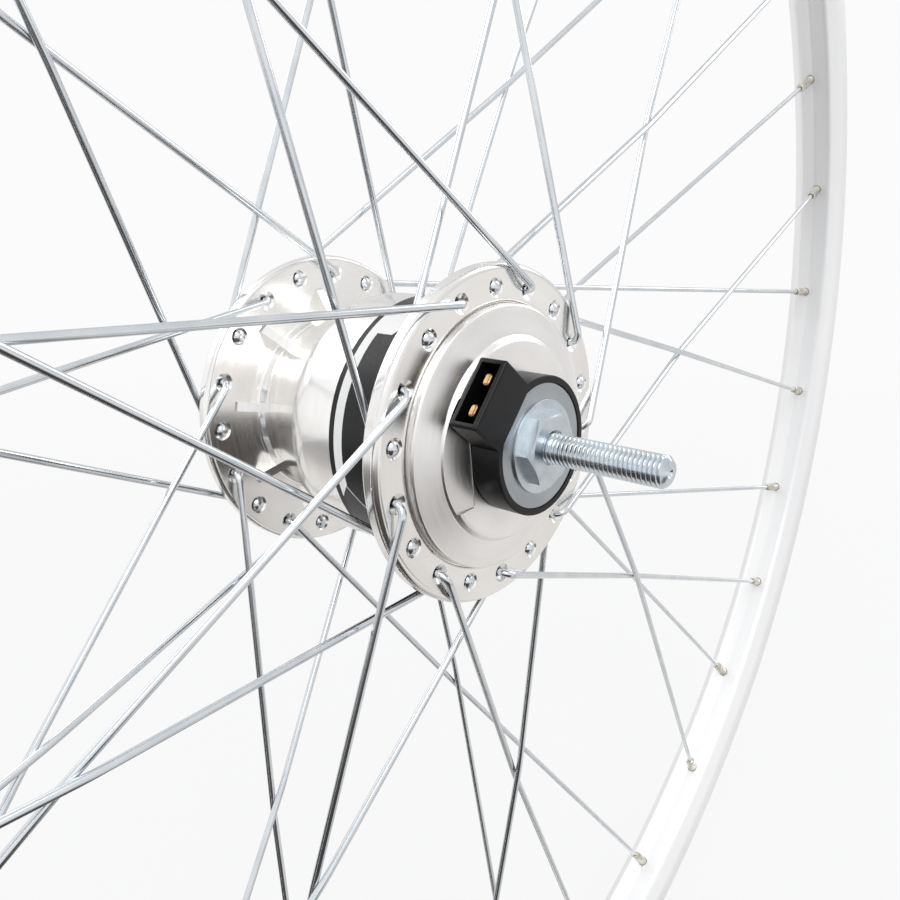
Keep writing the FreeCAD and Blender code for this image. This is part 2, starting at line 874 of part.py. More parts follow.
def valve_cutter(radius):
    """Cylinder through the rim where the valve goes."""
    start = polar(rim_inner_radius - rim_wall, valve_angle)
    return Part.makeCylinder(radius, rim_outer_radius - rim_inner_radius, start, polar(1, valve_angle))


def make_rim_tape():
    """Rubber tape over the nipples' heads."""
    outer = tape_radius + tape_thickness
    tape = ring(tape_radius, outer, -tape_half_width, tape_half_width, tape_thickness / 3)
    return tape.cut(valve_cutter(valve_hole_radius + contact_gap))


class SpokeGroup:
    """Nine alike spokes of one flange, whose heads are all on the same side of it."""

    def __init__(self, side, hub_angle, turn, elbow_outside):
        face = connector_flange_face if side == CONNECTOR else plain_flange_outer
        inner = connector_flange_inner if side == CONNECTOR else plain_flange_inner
        through = side if elbow_outside else -side
        head_y = side * (inner + head_sink) if elbow_outside else side * (face - head_sink)
        elbow_y = side * (face + elbow_outside_stand if elbow_outside else inner - elbow_inside_stand)
        other_y = side * (inner - elbow_inside_stand if elbow_outside else face + elbow_outside_stand)
        rim_offset = rim_phase + (10 if side == CONNECTOR else 0)
        hub_offset = connector_hub_phase if side == CONNECTOR else plain_hub_phase
        rim_angle = hub_angle + turn + rim_offset - hub_offset
        rim_y = side * nipple_stagger
        hub_point = polar(spoke_circle, hub_angle, elbow_y)
        rim_point = polar(nipple_seat_radius, rim_angle, rim_y)
        share = self.crossing_share(hub_point, rim_point)
        mean_y = (elbow_y + other_y) / 2 * (1 - share) + rim_y * share
        weave = -spoke_weave if elbow_outside else spoke_weave
        crossing = hub_point * (1 - share) + rim_point * share
        crossing.y = mean_y + side * weave
        self.direction = (rim_point - crossing).normalize()
        self.rim_point = rim_point
        self.head_axis = Vector(0, through, 0)
        self.head_place = polar(spoke_circle, hub_angle, head_y)
        self.points = [self.head_place, hub_point, crossing, rim_point]
        self.elbow = elbow_outside_radius if elbow_outside else elbow_inside_radius

    @staticmethod
    def crossing_share(hub_point, rim_point):
        """Share of the run from hub to rim at which the third crossing lies."""
        run = Vector(rim_point.x - hub_point.x, 0, rim_point.z - hub_point.z)
        start = Vector(hub_point.x, 0, hub_point.z)
        foot = -start.dot(run) / run.dot(run)
        nearest = (start + run * foot).Length
        bisector = math.radians(360 / spokes_per_group * 1.25)
        lean = math.acos(nearest / spoke_circle)
        along = nearest * math.tan(lean + bisector) - nearest * math.tan(lean)
        return along / run.Length

    def spokes(self):
        """Nine spokes, each with its head, elbow and slight bend at the crossing."""
        spoke = tube(self.points, [self.elbow, spoke_kink_radius], spoke_radius)
        spoke = spoke.fuse(aligned(head_shape(), self.head_place, self.head_axis)).removeSplitter()
        return group(self.copies(spoke))

    def nipples(self):
        """Nine nipples on the spokes' ends."""
        return self.copies(aligned(nipple_shape(), self.rim_point, self.direction * -1))

    def rim_holes(self):
        """Nine cutters for the rim, along the spokes' own directions."""
        radius = nipple_radius + rim_hole_gap
        start = self.rim_point - self.direction * 3 * rim_wall
        return self.copies(Part.makeCylinder(radius, 4 * rim_wall, start, self.direction))

    @staticmethod
    def copies(shape):
        """Nine copies of a shape, evenly round the axle."""
        step = 360 / spokes_per_group
        return [turned(shape, i * step) for i in range(spokes_per_group)]


def head_shape():
    """Domed rivet head whose flat underside is at the origin, facing +Z."""
    dome = Part.makeSphere(head_radius * 1.15, Vector(0, 0, head_radius * 1.15 - head_height))
    slab = Part.makeCylinder(head_radius, head_height, Vector(0, 0, -head_height))
    return dome.common(slab)


def nipple_shape():
    """Nipple along +Z: its head's underside is at the origin and its head is below it."""
    body = Part.makeCylinder(nipple_radius, nipple_length - nipple_square_length)
    half = nipple_square / 2
    length = nipple_square_length
    square = Part.makeBox(
        nipple_square, nipple_square, length, Vector(-half, -half, nipple_length - length)
    )
    taper = Part.makeCone(
        half * 1.45, half * 1.02, length, Vector(0, 0, nipple_length - length), Vector(0, 0, 1)
    )
    head = Part.makeCylinder(nipple_head_radius, nipple_head_height, Vector(0, 0, -nipple_head_height))
    head = head.common(Part.makeSphere(nipple_head_radius * 1.25, Vector(0, 0, nipple_head_radius * 0.75)))
    solid = body.fuse([square.common(taper), head]).removeSplitter()
    bore = Part.makeCylinder(spoke_radius + nipple_bore_gap, nipple_length + 5, Vector(0, 0, -1))
    return solid.cut(bore)


def make_wheel_ring():
    """Rim, tape, spokes and nipples, by node name."""
    first = connector_hub_phase + 80
    second = plain_hub_phase + 80
    groups = {
        "spokes_connector_heads_out": SpokeGroup(CONNECTOR, first, -crosses_angle, False),
        "spokes_connector_heads_in": SpokeGroup(CONNECTOR, first - 20, crosses_angle, True),
        "spokes_plain_heads_out": SpokeGroup(PLAIN, second, crosses_angle, False),
        "spokes_plain_heads_in": SpokeGroup(PLAIN, second - 20, -crosses_angle, True),
    }
    nodes = {name: spokes.spokes() for name, spokes in groups.items()}
    holes = []
    for spokes in groups.values():
        holes += spokes.rim_holes()
    for label in ("connector", "plain"):
        nipples = []
        for name, spokes in groups.items():
            if label in name:
                nipples += spokes.nipples()
        nodes["nipples_" + label] = group(nipples)
    nodes["rim"] = make_rim(holes)
    nodes["rim_tape"] = make_rim_tape()
    return nodes


def make_nodes():
    """Every node of the wheel, by name."""
    washer_face = locknut_inner - plain_spacer_thickness - plain_washer_thickness
    cone_end = {CONNECTOR: housing_rear, PLAIN: washer_face}
    bore = axle_radius + fit_gap
    nodes = {
        "axle": make_axle(),
        "locknut_connector": make_locknut(CONNECTOR),
        "locknut_plain": make_locknut(PLAIN),
        "lock_washer_connector": ring(bore, washer_radius, -locknut_inner, -housing_front, 0.15),
        "lock_washer_plain": ring(
            bore, plain_washer_radius, washer_face, washer_face + plain_washer_thickness, 0.25
        ),
        "spacer_plain": ring(
            bore, plain_spacer_radius, locknut_inner - plain_spacer_thickness, locknut_inner, 0.3
        ),
        "terminal_disc": make_terminal_disc(),
        "connector_housing": make_connector_housing(),
        "contact_blades": make_contact_blades(),
        "lead_wires": make_lead_wires(),
        "stator_nuts": make_stator_nuts(),
        "claw_plate_connector": make_claw_plate(stator_from, 1, 0),
        "claw_plate_plain": make_claw_plate(stator_to, -1, 180 / claw_count),
        "stator_core": make_stator_core(),
        "coil_bobbin": make_bobbin(),
        "coil_winding": make_coil(),
        "hub_shell": make_hub_shell(),
        "hub_end_cap": make_end_cap(),
        "dust_cap_plain": make_dust_cap(),
        "label_band": make_label(),
        "magnet_yoke": make_magnet_yoke(),
        "magnets": make_magnets(),
        "seal_connector": make_seal(CONNECTOR, boss_face - seal_thickness - contact_gap),
        "seal_plain": make_seal(PLAIN, neck_lip_end - seal_thickness - contact_gap),
    }
    for name, side, place in (
        ("connector", CONNECTOR, connector_bearing),
        ("plain", PLAIN, plain_bearing),
    ):
        nodes["cone_" + name] = make_cone(side, place, cone_end[side])
        nodes["cup_" + name] = make_cup(side, place)
        nodes["balls_" + name] = make_balls(side, place)
        nodes["ball_cage_" + name] = make_cage(side, place)
    nodes.update(make_wheel_ring())
    return nodes


def main():
    os.makedirs("parts", exist_ok=True)
    for name, shape in make_nodes().items():
        shape.exportStep("parts/" + name + ".step")
        print(f"{name}: {len(shape.Solids)} solids, {shape.Volume:.1f} mm3, valid {shape.isValid()}")


main()
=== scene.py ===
"""Looks of the dynamo front wheel: its finishes, threaded axle, spokes, nipples and the studio round it.

Metres in Blender, millimetres in the sizes below. The axle lies along Y, the connector side is at
negative Y and Z is up. Angles round the axle are in degrees from +X towards +Z.
"""
import logging
from dataclasses import dataclass
from enum import Enum
from math import acos, ceil, cos, pi, radians, sin, sqrt, tan
from typing import Iterable

import bmesh
import bpy
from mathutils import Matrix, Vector


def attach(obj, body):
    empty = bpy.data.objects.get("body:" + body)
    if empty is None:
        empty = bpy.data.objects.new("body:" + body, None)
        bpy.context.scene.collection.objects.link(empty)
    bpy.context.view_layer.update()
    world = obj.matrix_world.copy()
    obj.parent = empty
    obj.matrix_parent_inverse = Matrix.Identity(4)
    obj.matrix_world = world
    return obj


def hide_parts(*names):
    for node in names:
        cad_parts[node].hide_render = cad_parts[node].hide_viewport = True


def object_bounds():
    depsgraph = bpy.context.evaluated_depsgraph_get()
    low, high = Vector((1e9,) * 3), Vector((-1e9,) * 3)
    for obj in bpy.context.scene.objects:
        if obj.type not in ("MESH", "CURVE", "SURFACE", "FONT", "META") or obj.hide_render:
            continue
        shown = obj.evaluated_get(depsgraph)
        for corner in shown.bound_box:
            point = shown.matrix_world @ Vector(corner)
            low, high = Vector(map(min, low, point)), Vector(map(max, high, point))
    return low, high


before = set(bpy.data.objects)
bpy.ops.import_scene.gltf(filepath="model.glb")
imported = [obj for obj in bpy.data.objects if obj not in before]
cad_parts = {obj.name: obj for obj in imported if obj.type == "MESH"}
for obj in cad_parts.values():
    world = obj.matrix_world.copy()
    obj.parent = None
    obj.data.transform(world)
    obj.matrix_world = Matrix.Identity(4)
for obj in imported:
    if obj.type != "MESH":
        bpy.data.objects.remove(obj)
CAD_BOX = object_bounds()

Material = bpy.types.Material
Mesh = bpy.types.Mesh
Object = bpy.types.Object
Outputs = bpy.types.bpy_prop_collection
Pair = tuple[float, float]
Ring = list[Vector]
Socket = bpy.types.NodeSocket
Stops = tuple[tuple[float, str], ...]
Tree = bpy.types.NodeTree

MM = 0.001
AXLE = Vector((0.0, 1.0, 0.0))
WELD = 0.0005 * MM  # distance within which points are one
MIX_A, MIX_B, MIX_RESULT = 6, 7, 2  # a colour mix's two inputs and its result
TURN_STRETCH = 1.2  # how often a mark changes on its way round the axle
MARK_RANGE = (0.3, 0.7)  # values of a noise between which roughness spreads
PATCH_RANGE = (0.35, 0.65)  # values of a noise between which one tone becomes the other
log = logging.getLogger("dynamo_wheel")


# Helpers


def linear(hex_colour: str) -> tuple[float, float, float, float]:
    """Turn an sRGB hex colour into linear light.

    Args:
        hex_colour: Six hex digits, with or without a hash sign.

    Returns:
        Red, green, blue and an alpha of 1.
    """
    digits = hex_colour.lstrip("#")
    channels = [int(digits[i:i + 2], 16) / 255 for i in (0, 2, 4)]
    return tuple(c / 12.92 if c <= 0.04045 else ((c + 0.055) / 1.055) ** 2.4 for c in channels) + (1.0,)


def add(tree: Tree, kind: str, inputs: dict | tuple = (), **settings: object) -> Outputs:
    """Add a node to a tree, with its settings and links.

    Args:
        tree: Tree that the node joins.
        kind: Type name of the node.
        inputs: Constant or other node's output socket for each input, in order or by its name or number.
        settings: Properties of the node.

    Returns:
        The new node's outputs.
    """
    node = tree.nodes.new(kind)
    for name, value in settings.items():
        setattr(node, name, value)
    for name, value in inputs.items() if isinstance(inputs, dict) else enumerate(inputs):
        if isinstance(value, Socket):
            tree.links.new(value, node.inputs[name])
        else:
            node.inputs[name].default_value = value
    return node.outputs


def blank_material(name: str) -> tuple[Material, Tree]:
    """Make a material with no nodes yet.

    Args:
        name: Name of the material.

    Returns:
        The material and its empty tree.
    """
    material = bpy.data.materials.new(name)
    material.use_nodes = True
    material.node_tree.nodes.clear()
    return material, material.node_tree


def polar(radius: float, angle: float, y: float) -> Vector:
    """Point in millimetres at a radius and an angle round the axle."""
    turn = radians(angle)
    return Vector((radius * cos(turn), y, radius * sin(turn)))


def rounded_path(points: Ring, radii: list[float], steps: list[int]) -> Ring:
    """Round the inner corners of a path of straight runs.

    Args:
        points: Corners of the path.
        radii: Radius at each inner corner.
        steps: Number of pieces in each arc.

    Returns:
        Points along the runs and arcs.
    """
    path = [points[0]]
    for i, (radius, count) in enumerate(zip(radii, steps), start=1):
        corner = points[i]
        back = (points[i - 1] - corner).normalized()
        ahead = (points[i + 1] - corner).normalized()
        half = back.angle(ahead) / 2
        centre = corner + (back + ahead).normalized() * (radius / sin(half))
        start = (corner + back * (radius / tan(half)) - centre).normalized()
        end = (corner + ahead * (radius / tan(half)) - centre).normalized()
        path += [centre + start.slerp(end, step / count) * radius for step in range(count + 1)]
    path.append(points[-1])
    return path


def skin(bm: bmesh.types.BMesh, rings: list[Ring], closed: bool = False) -> None:
    """Lay faces over rings of points, with a pole where a ring is one point.

    Args:
        bm: Mesh that the faces join.
        rings: Rings of points in millimetres, all of one length except poles.
        closed: Whether the last ring joins the first.
    """
    rows = [[bm.verts.new(point * MM) for point in ring] for ring in rings]
    pairs = list(zip(rows, rows[1:])) + ([(rows[-1], rows[0])] if closed else [])
    for low, high in pairs:
        count = max(len(low), len(high))
        for i in range(count):
            j = (i + 1) % count
            if len(low) == 1:
                bm.faces.new((low[0], high[j], high[i]))
            elif len(high) == 1:
                bm.faces.new((low[i], low[j], high[0]))
            else:
                bm.faces.new((low[i], low[j], high[j], high[i]))


def finished_mesh(bm: bmesh.types.BMesh, name: str, sharp_degrees: float) -> Mesh:
    """Weld a mesh, turn its faces outwards and shade it smooth except at sharp edges.

    Args:
        bm: Mesh to finish, which is freed.
        name: Name of the new mesh.
        sharp_degrees: Angle between faces past which an edge is sharp.

    Returns:
        The finished mesh.
    """
    bmesh.ops.remove_doubles(bm, verts=bm.verts, dist=WELD)
    bmesh.ops.dissolve_degenerate(bm, edges=bm.edges, dist=WELD)
    bmesh.ops.recalc_face_normals(bm, faces=bm.faces)
    mesh = bpy.data.meshes.new(name)
    bm.to_mesh(mesh)
    bm.free()
    mesh.shade_smooth()
    mesh.set_sharp_from_angle(angle=radians(sharp_degrees))
    return mesh


def give_surface(tree: Tree, grain: Socket, roughness: Pair, depth_mm: float, looks: dict) -> None:
    """Give a material its shader, with a roughness and a bump that follow one noise.

    Args:
        tree: Tree of the material.
        grain: The noise.
        roughness: Roughness where the noise is low and where it is high.
        depth_mm: Depth of the bump.
        looks: The shader's other inputs.
    """
    rough = add(tree, "ShaderNodeMapRange", (grain, *MARK_RANGE, *roughness))[0]
    bump = add(tree, "ShaderNodeBump", {"Height": grain, "Distance": depth_mm * MM})[0]
    shader = add(tree, "ShaderNodeBsdfPrincipled", looks | {"Roughness": rough, "Normal": bump})
    add(tree, "ShaderNodeOutputMaterial", {"Surface": shader[0]})


def piece(name: str, mesh: Mesh, material: Material) -> Object:
    """Put a mesh in the scene as an object with one material.

    Args:
        name: Name of the piece.
        mesh: Its mesh, with its place in it.
        material: Its finish.

    Returns:
        The new object, at the origin.
    """
    mesh.materials.clear()
    mesh.materials.append(material)
    thing = bpy.data.objects.new(name, mesh)
    bpy.context.scene.collection.objects.link(thing)
    return thing


# Finishes


class Marks(Enum):
    """How the marks of a surface's making run."""

    ROUND_AXLE = "round the axle, as on turned and extruded rings"
    EVEN = "the same in every direction, as on plating and mouldings"


@dataclass(frozen=True)
class Finish:
    """One finish, with the colour, gloss and marks that its making leaves."""

    name: str
    colour: str
    shade: str
    roughness: float
    roughness_spread: float
    marks: Marks
    mark_mm: float
    mark_depth_mm: float
    patch_mm: float
    metallic: float = 1.0
    coat: float = 0.0
    specular: float = 0.5

    def coordinates(self, tree: Tree, size_mm: float) -> tuple[Socket, Socket | float]:
        """Give the place that a noise reads, along or across the marks.

        Args:
            tree: Tree of the material.
            size_mm: Distance that makes one unit of the noise.

        Returns:
            Vector and fourth value for a four-dimensional noise.
        """
        place = add(tree, "ShaderNodeTexCoord")["Object"]
        scale = 1 / (size_mm * MM)
        if self.marks is Marks.EVEN:
            even = add(tree, "ShaderNodeVectorMath", (place, (scale,) * 3), operation="MULTIPLY")
            return even[0], 0.0
        flat = add(tree, "ShaderNodeVectorMath", (place, (1.0, 0.0, 1.0)), operation="MULTIPLY")
        radius = add(tree, "ShaderNodeVectorMath", (flat[0],), operation="LENGTH")
        way = add(tree, "ShaderNodeVectorMath", (flat[0],), operation="NORMALIZE")
        way = add(tree, "ShaderNodeSeparateXYZ", (way[0],))
        along = add(tree, "ShaderNodeSeparateXYZ", (place,))["Y"]
        across, down, turn_x, turn_z = (
            add(tree, "ShaderNodeMath", (value, rate), operation="MULTIPLY")[0]
            for value, rate in (
                (radius["Value"], scale), (along, scale), (way["X"], TURN_STRETCH), (way["Z"], TURN_STRETCH)
            )
        )
        return add(tree, "ShaderNodeCombineXYZ", (across, down, turn_x))[0], turn_z

    def noise(self, tree: Tree, size_mm: float, detail: float) -> Socket:
        """Noise of a real size that follows the marks.

        Args:
            tree: Tree of the material.
            size_mm: Distance between two marks.
            detail: Number of finer octaves.

        Returns:
            The noise's value.
        """
        vector, fourth = self.coordinates(tree, size_mm)
        inputs = {"Vector": vector, "W": fourth, "Scale": 1.0, "Detail": detail}
        return add(tree, "ShaderNodeTexNoise", inputs, noise_dimensions="4D")[0]

    def base_colour(self, tree: Tree) -> Socket:
        """Colour that drifts between the finish's two tones.

        Args:
            tree: Tree of the material.

        Returns:
            The colour's socket.
        """
        patches = self.noise(tree, self.patch_mm, detail=3.0)
        share = add(tree, "ShaderNodeMapRange", (patches, *PATCH_RANGE))
        tones = {0: share[0], MIX_A: linear(self.colour), MIX_B: linear(self.shade)}
        return add(tree, "ShaderNodeMix", tones, data_type="RGBA")[MIX_RESULT]

    def build(self) -> Material:
        """Make the material.

        Returns:
            A material with colour, roughness and bump from its own noises.
        """
        material, tree = blank_material(self.name)
        marks = self.noise(tree, self.mark_mm, detail=2.0)
        roughness = self.roughness - self.roughness_spread, self.roughness + self.roughness_spread
        looks = {
            "Base Color": self.base_colour(tree), "Metallic": self.metallic,
            "Coat Weight": self.coat, "Specular IOR Level": self.specular,
        }
        give_surface(tree, marks, roughness, self.mark_depth_mm, looks)
        return material


# Aluminium turned on a lathe and polished: faint rings round the axle, nearly white.
TURNED_ALUMINIUM = Finish(
    "turned_aluminium", "#FBFAF8", "#F2F0EE", 0.19, 0.03, Marks.ROUND_AXLE, 0.6, 0.0008, 9.0
)
# The same aluminium left satin on the end cap: it mirrors the black connector only softly.
SATIN_ALUMINIUM = Finish(
    "satin_turned_aluminium", "#FCFBFA", "#F1EFEE", 0.33, 0.04, Marks.ROUND_AXLE, 0.6, 0.0008, 9.0
)
# Extruded aluminium, brushed along the rim, with a milky clear anodised film: a soft white.
EXTRUDED_ALUMINIUM = Finish(
    "anodised_rim_aluminium", "#FAFAFA", "#F3F3F4", 0.4, 0.03, Marks.ROUND_AXLE, 0.6, 0.0008, 14.0,
    metallic=0.55
)
# Cold-drawn steel wire, zinc plated: bright, faintly blue.
DRAWN_SPOKE_STEEL = Finish(
    "zinc_plated_spoke_steel", "#E2E6EA", "#D6DBE0", 0.19, 0.02, Marks.EVEN, 2.2, 0.0002, 9.0
)
# Brass nipples, nickel plated: bright with a little warmth.
NICKEL_BRASS = Finish("nickel_plated_brass", "#DAD6CC", "#C6C1B5", 0.2, 0.05, Marks.EVEN, 0.9, 0.0004, 3.0)
# Bright zinc with a blue passivation on nuts and washers: blue-white, slightly cloudy.
BLUE_ZINC = Finish("blue_zinc_steel", "#D3DADF", "#C4CCD2", 0.3, 0.03, Marks.EVEN, 1.4, 0.0003, 5.0)
# The same zinc on the axle, whose rolled thread is burnished: sharper highlights along its crests.
ROLLED_ZINC = Finish("rolled_zinc_steel", "#DCE3E8", "#CDD5DB", 0.18, 0.02, Marks.EVEN, 1.4, 0.0003, 5.0)
# Stamped disc under the nut, zinc plated and duller than the nut: grey satin.
ZINC_SHEET = Finish("zinc_sheet_steel", "#B4B9BD", "#A5ABB0", 0.3, 0.04, Marks.ROUND_AXLE, 0.5, 0.001, 7.0)
# Ground and hardened bearing steel: even bright grey.
BEARING_STEEL = Finish(
    "ground_bearing_steel", "#B9BABC", "#A6A7AA", 0.12, 0.04, Marks.ROUND_AXLE, 0.4, 0.001, 4.0
)
# Pressed stator sheet, phosphated: dull dark grey.
STATOR_STEEL = Finish("phosphated_stator_steel", "#6C6D6F", "#57585B", 0.45, 0.08, Marks.EVEN, 0.9, 0.01, 4.0)
# Sintered ferrite: matte charcoal with a coarse grain.
FERRITE = Finish(
    "sintered_ferrite", "#3A3A3D", "#2E2E31", 0.6, 0.08, Marks.EVEN, 0.6, 0.02, 3.0, metallic=0.0
)
# Black polyamide from a finely eroded mould: matte with soft highlights on its edges.
BLACK_POLYAMIDE = Finish(
    "moulded_black_polyamide", "#0C0C0D", "#121213", 0.36, 0.05, Marks.EVEN, 0.35, 0.004, 5.0,
    metallic=0.0, specular=0.28
)
# Punched brass blades, tarnished a little: dull pale gold.
BRASS = Finish("punched_brass", "#A98C64", "#806443", 0.24, 0.05, Marks.EVEN, 0.8, 0.002, 2.5)
# Enamelled copper wire: glossy reddish brown.
COPPER = Finish(
    "enamelled_copper", "#B4683C", "#9A5530", 0.25, 0.05, Marks.ROUND_AXLE, 0.6, 0.08, 4.0, coat=0.6
)
# Wire insulation: smooth soft black.
INSULATION = Finish(
    "wire_insulation", "#1B1B1B", "#242424", 0.5, 0.05, Marks.EVEN, 0.5, 0.003, 3.0, metallic=0.0
)
# Moulded rubber: matte black-grey.
RUBBER = Finish("moulded_rubber", "#222222", "#2B2B2B", 0.65, 0.08, Marks.EVEN, 0.5, 0.01, 4.0, metallic=0.0)


@dataclass(frozen=True)
class LabelFoil:
    """Black foil label with a white stripe and plain white corners, and no lettering.

    Angles are in degrees and lengths in millimetres. The print comes twice in each turn.
    """

    name: str = "printed_label_foil"
    black: str = "#0F1012"
    charcoal: str = "#343537"
    white: str = "#F4F4F2"
    repeat: float = 180.0  # angle from one repeat of the print to the next
    stripe: Pair = (-10.4, -7.4)
    taper: float = 7.0  # angle over which the stripe narrows to a point
    line: float = 0.35  # width of the white line along the charcoal's slope
    wedge_angles: Pair = (112.0, 128.5)
    wedge_edges: Pair = (-20.5, -15.5)
    foot_angles: Pair = (196.0, 229.0)
    foot_edges: Pair = (-9.4, -27.0)
    foot_margin: float = 12.0  # how far the charcoal reaches past the line's end
    roughness: Pair = (0.26, 0.36)
    specular: float = 0.35
    grains_per_metre: float = 900.0
    grain_depth: float = 0.002

    def area(self, tree: Tree, *spans: tuple[Socket, Socket | float, Socket | float]) -> Socket:
        """One where every value lies between its two ends, else nought.

        Args:
            tree: Tree of the material.
            spans: Value, lower end and upper end.

        Returns:
            The result's socket.
        """
        shown = 1.0
        for value, low, high in spans:
            for operation, end in (("GREATER_THAN", low), ("LESS_THAN", high)):
                test = add(tree, "ShaderNodeMath", (value, end), operation=operation)[0]
                shown = add(tree, "ShaderNodeMath", (shown, test), operation="MULTIPLY")[0]
        return shown

    def phase(self, tree: Tree, x: Socket, z: Socket) -> Socket:
        """Angle round the axle from the start of the print's last repeat.

        Args:
            tree: Tree of the material.
            x: Coordinate along X.
            z: Coordinate along Z.

        Returns:
            The angle's socket.
        """
        turn = add(tree, "ShaderNodeMath", (z, x), operation="ARCTAN2")[0]
        degrees = add(tree, "ShaderNodeMath", (turn,), operation="DEGREES")[0]
        shift = 360.0 - self.wedge_angles[0]
        start = add(tree, "ShaderNodeMath", (degrees, shift), operation="ADD")[0]
        return add(tree, "ShaderNodeMath", (start, self.repeat), operation="MODULO")[0]

    def masks(self, tree: Tree, place: Socket) -> tuple[Socket, Socket]:
        """Find where the print is white and where it is charcoal.

        Args:
            tree: Tree of the material.
            place: Object coordinates.

        Returns:
            One where it is white, and one where it is charcoal.
        """
        parts = add(tree, "ShaderNodeSeparateXYZ", (place,))
        phase = self.phase(tree, parts["X"], parts["Z"])
        along = add(tree, "ShaderNodeMath", (parts["Y"], 1 / MM), operation="MULTIPLY")[0]
        low, high = self.stripe
        wedge_end, foot, foot_end = (
            angle - self.wedge_angles[0] for angle in (self.wedge_angles[1], *self.foot_angles)
        )
        taper_end = foot + self.taper
        before = -1.0  # less than any phase
        wedge_edge, stripe_edge, slope = (
            add(tree, "ShaderNodeMapRange", (phase, *ends))[0]
            for ends in (
                (0.0, wedge_end, *self.wedge_edges),
                (foot, taper_end, low, high),
                (foot, foot_end, *self.foot_edges),
            )
        )
        slope_near = add(tree, "ShaderNodeMath", (slope, -self.line), operation="ADD")[0]
        wedge, stripe, line, grey = (
            self.area(tree, (phase, *angles), (along, *edges))
            for angles, edges in (
                ((before, wedge_end), (wedge_edge, high)),
                ((before, taper_end), (stripe_edge, high)),
                ((foot, foot_end), (slope_near, slope)),
                ((foot, foot_end + self.foot_margin), (slope, high)),
            )
        )
        pale = add(tree, "ShaderNodeMath", (wedge, stripe), operation="MAXIMUM")[0]
        pale = add(tree, "ShaderNodeMath", (pale, line), operation="MAXIMUM")[0]
        return pale, grey

    def build(self) -> Material:
        """Make the material.

        Returns:
            A material with the print's colours and a fine grain.
        """
        material, tree = blank_material(self.name)
        place = add(tree, "ShaderNodeTexCoord")["Object"]
        pale, grey = self.masks(tree, place)
        tones = {0: grey, MIX_A: linear(self.black), MIX_B: linear(self.charcoal)}
        ground = add(tree, "ShaderNodeMix", tones, data_type="RGBA")[MIX_RESULT]
        tones = {0: pale, MIX_A: ground, MIX_B: linear(self.white)}
        colour = add(tree, "ShaderNodeMix", tones, data_type="RGBA")[MIX_RESULT]
        fine = {"Vector": place, "Scale": self.grains_per_metre, "Detail": 2.0}
        grain = add(tree, "ShaderNodeTexNoise", fine)[0]
        looks = {"Base Color": colour, "Specular IOR Level": self.specular}
        give_surface(tree, grain, self.roughness, self.grain_depth, looks)
        return material


# Geometry that repeats round the axle


@dataclass
class RoundTheAxle:
    """Geometry Nodes tree that sets copies of a mesh evenly round the axle."""

    name: str = "copies_round_the_axle"
    tree: Tree | None = None

    def build(self) -> None:
        """Make the tree, with a count and a step in degrees as its named inputs."""
        tree = bpy.data.node_groups.new(self.name, "GeometryNodeTree")
        inputs = (("Geometry", "Geometry"), ("Count", "Int"), ("Step", "Float"), ("Finish", "Material"))
        for name, kind in inputs:
            tree.interface.new_socket(name, in_out="INPUT", socket_type="NodeSocket" + kind)
        tree.interface.new_socket("Geometry", in_out="OUTPUT", socket_type="NodeSocketGeometry")
        given = add(tree, "NodeGroupInput")
        points = add(tree, "GeometryNodeMeshLine", {"Count": given["Count"], "Offset": (0.0, 0.0, 0.0)})
        index = add(tree, "GeometryNodeInputIndex")[0]
        turn = add(tree, "ShaderNodeMath", (index, given["Step"]), operation="MULTIPLY")[0]
        back = add(tree, "ShaderNodeMath", (turn,), operation="RADIANS")[0]
        back = add(tree, "ShaderNodeMath", (back, -1.0), operation="MULTIPLY")[0]
        rotation = add(tree, "ShaderNodeCombineXYZ", {1: back})[0]
        placing = {"Points": points[0], "Instance": given["Geometry"], "Rotation": rotation}
        copies = add(tree, "GeometryNodeInstanceOnPoints", placing)[0]
        real = add(tree, "GeometryNodeRealizeInstances", (copies,))[0]
        dressed = add(tree, "GeometryNodeSetMaterial", {"Geometry": real, "Material": given["Finish"]})
        add(tree, "NodeGroupOutput", (dressed[0],))
        self.tree = tree

    def bake(self, mesh: Mesh, count: int, step: float, finish: Material) -> Mesh:
        """Run the tree on a mesh and return the copies as one plain mesh.

        Args:
            mesh: One copy, in its place.
            count: Number of copies.
            step: Degrees from one copy to the next.
            finish: Material of the copies.

        Returns:
            Mesh of all the copies.
        """
        thing = bpy.data.objects.new(self.name, mesh)
        bpy.context.scene.collection.objects.link(thing)
        modifier = thing.modifiers.new(self.name, "NODES")
        modifier.node_group = self.tree
        given = {"Count": count, "Step": step, "Finish": finish}
        for item in self.tree.interface.items_tree:
            if item.in_out == "INPUT" and item.name in given:
                modifier[item.identifier] = given[item.name]
        graph = bpy.context.evaluated_depsgraph_get()
        baked = bpy.data.meshes.new_from_object(thing.evaluated_get(graph))
        bpy.data.objects.remove(thing)
        return baked


# Spokes and nipples

ELBOW_STEPS, KINK_STEPS = 14, 4
HEAD_RISES = (0.97, 0.88, 0.72, 0.5, 0.25, 0.06)  # heights of a head's rings, over its own height
NIPPLE_SIDES = 32
NIPPLE_SHARP = 40.0
# distance from the seat, half width and squareness of each ring, where 2 is round and more is squarer
NIPPLE_PROFILE = (
    (-1.6, 1.1, 2.0), (-1.6, 2.3, 2.0), (-1.45, 2.65, 2.0), (-1.1, 2.9, 2.0), (-0.6, 3.0, 2.0),
    (-0.15, 2.95, 2.0), (0.0, 2.8, 2.0), (0.0, 2.15, 2.0), (0.3, 1.95, 2.0), (7.1, 1.95, 2.0),
    (7.5, 1.9, 2.4), (7.9, 1.72, 5.0), (8.3, 1.66, 9.0), (11.9, 1.62, 9.0), (12.25, 1.55, 7.0),
    (12.45, 1.42, 4.0), (12.5, 1.25, 2.0), (12.5, 1.1, 2.0),
)


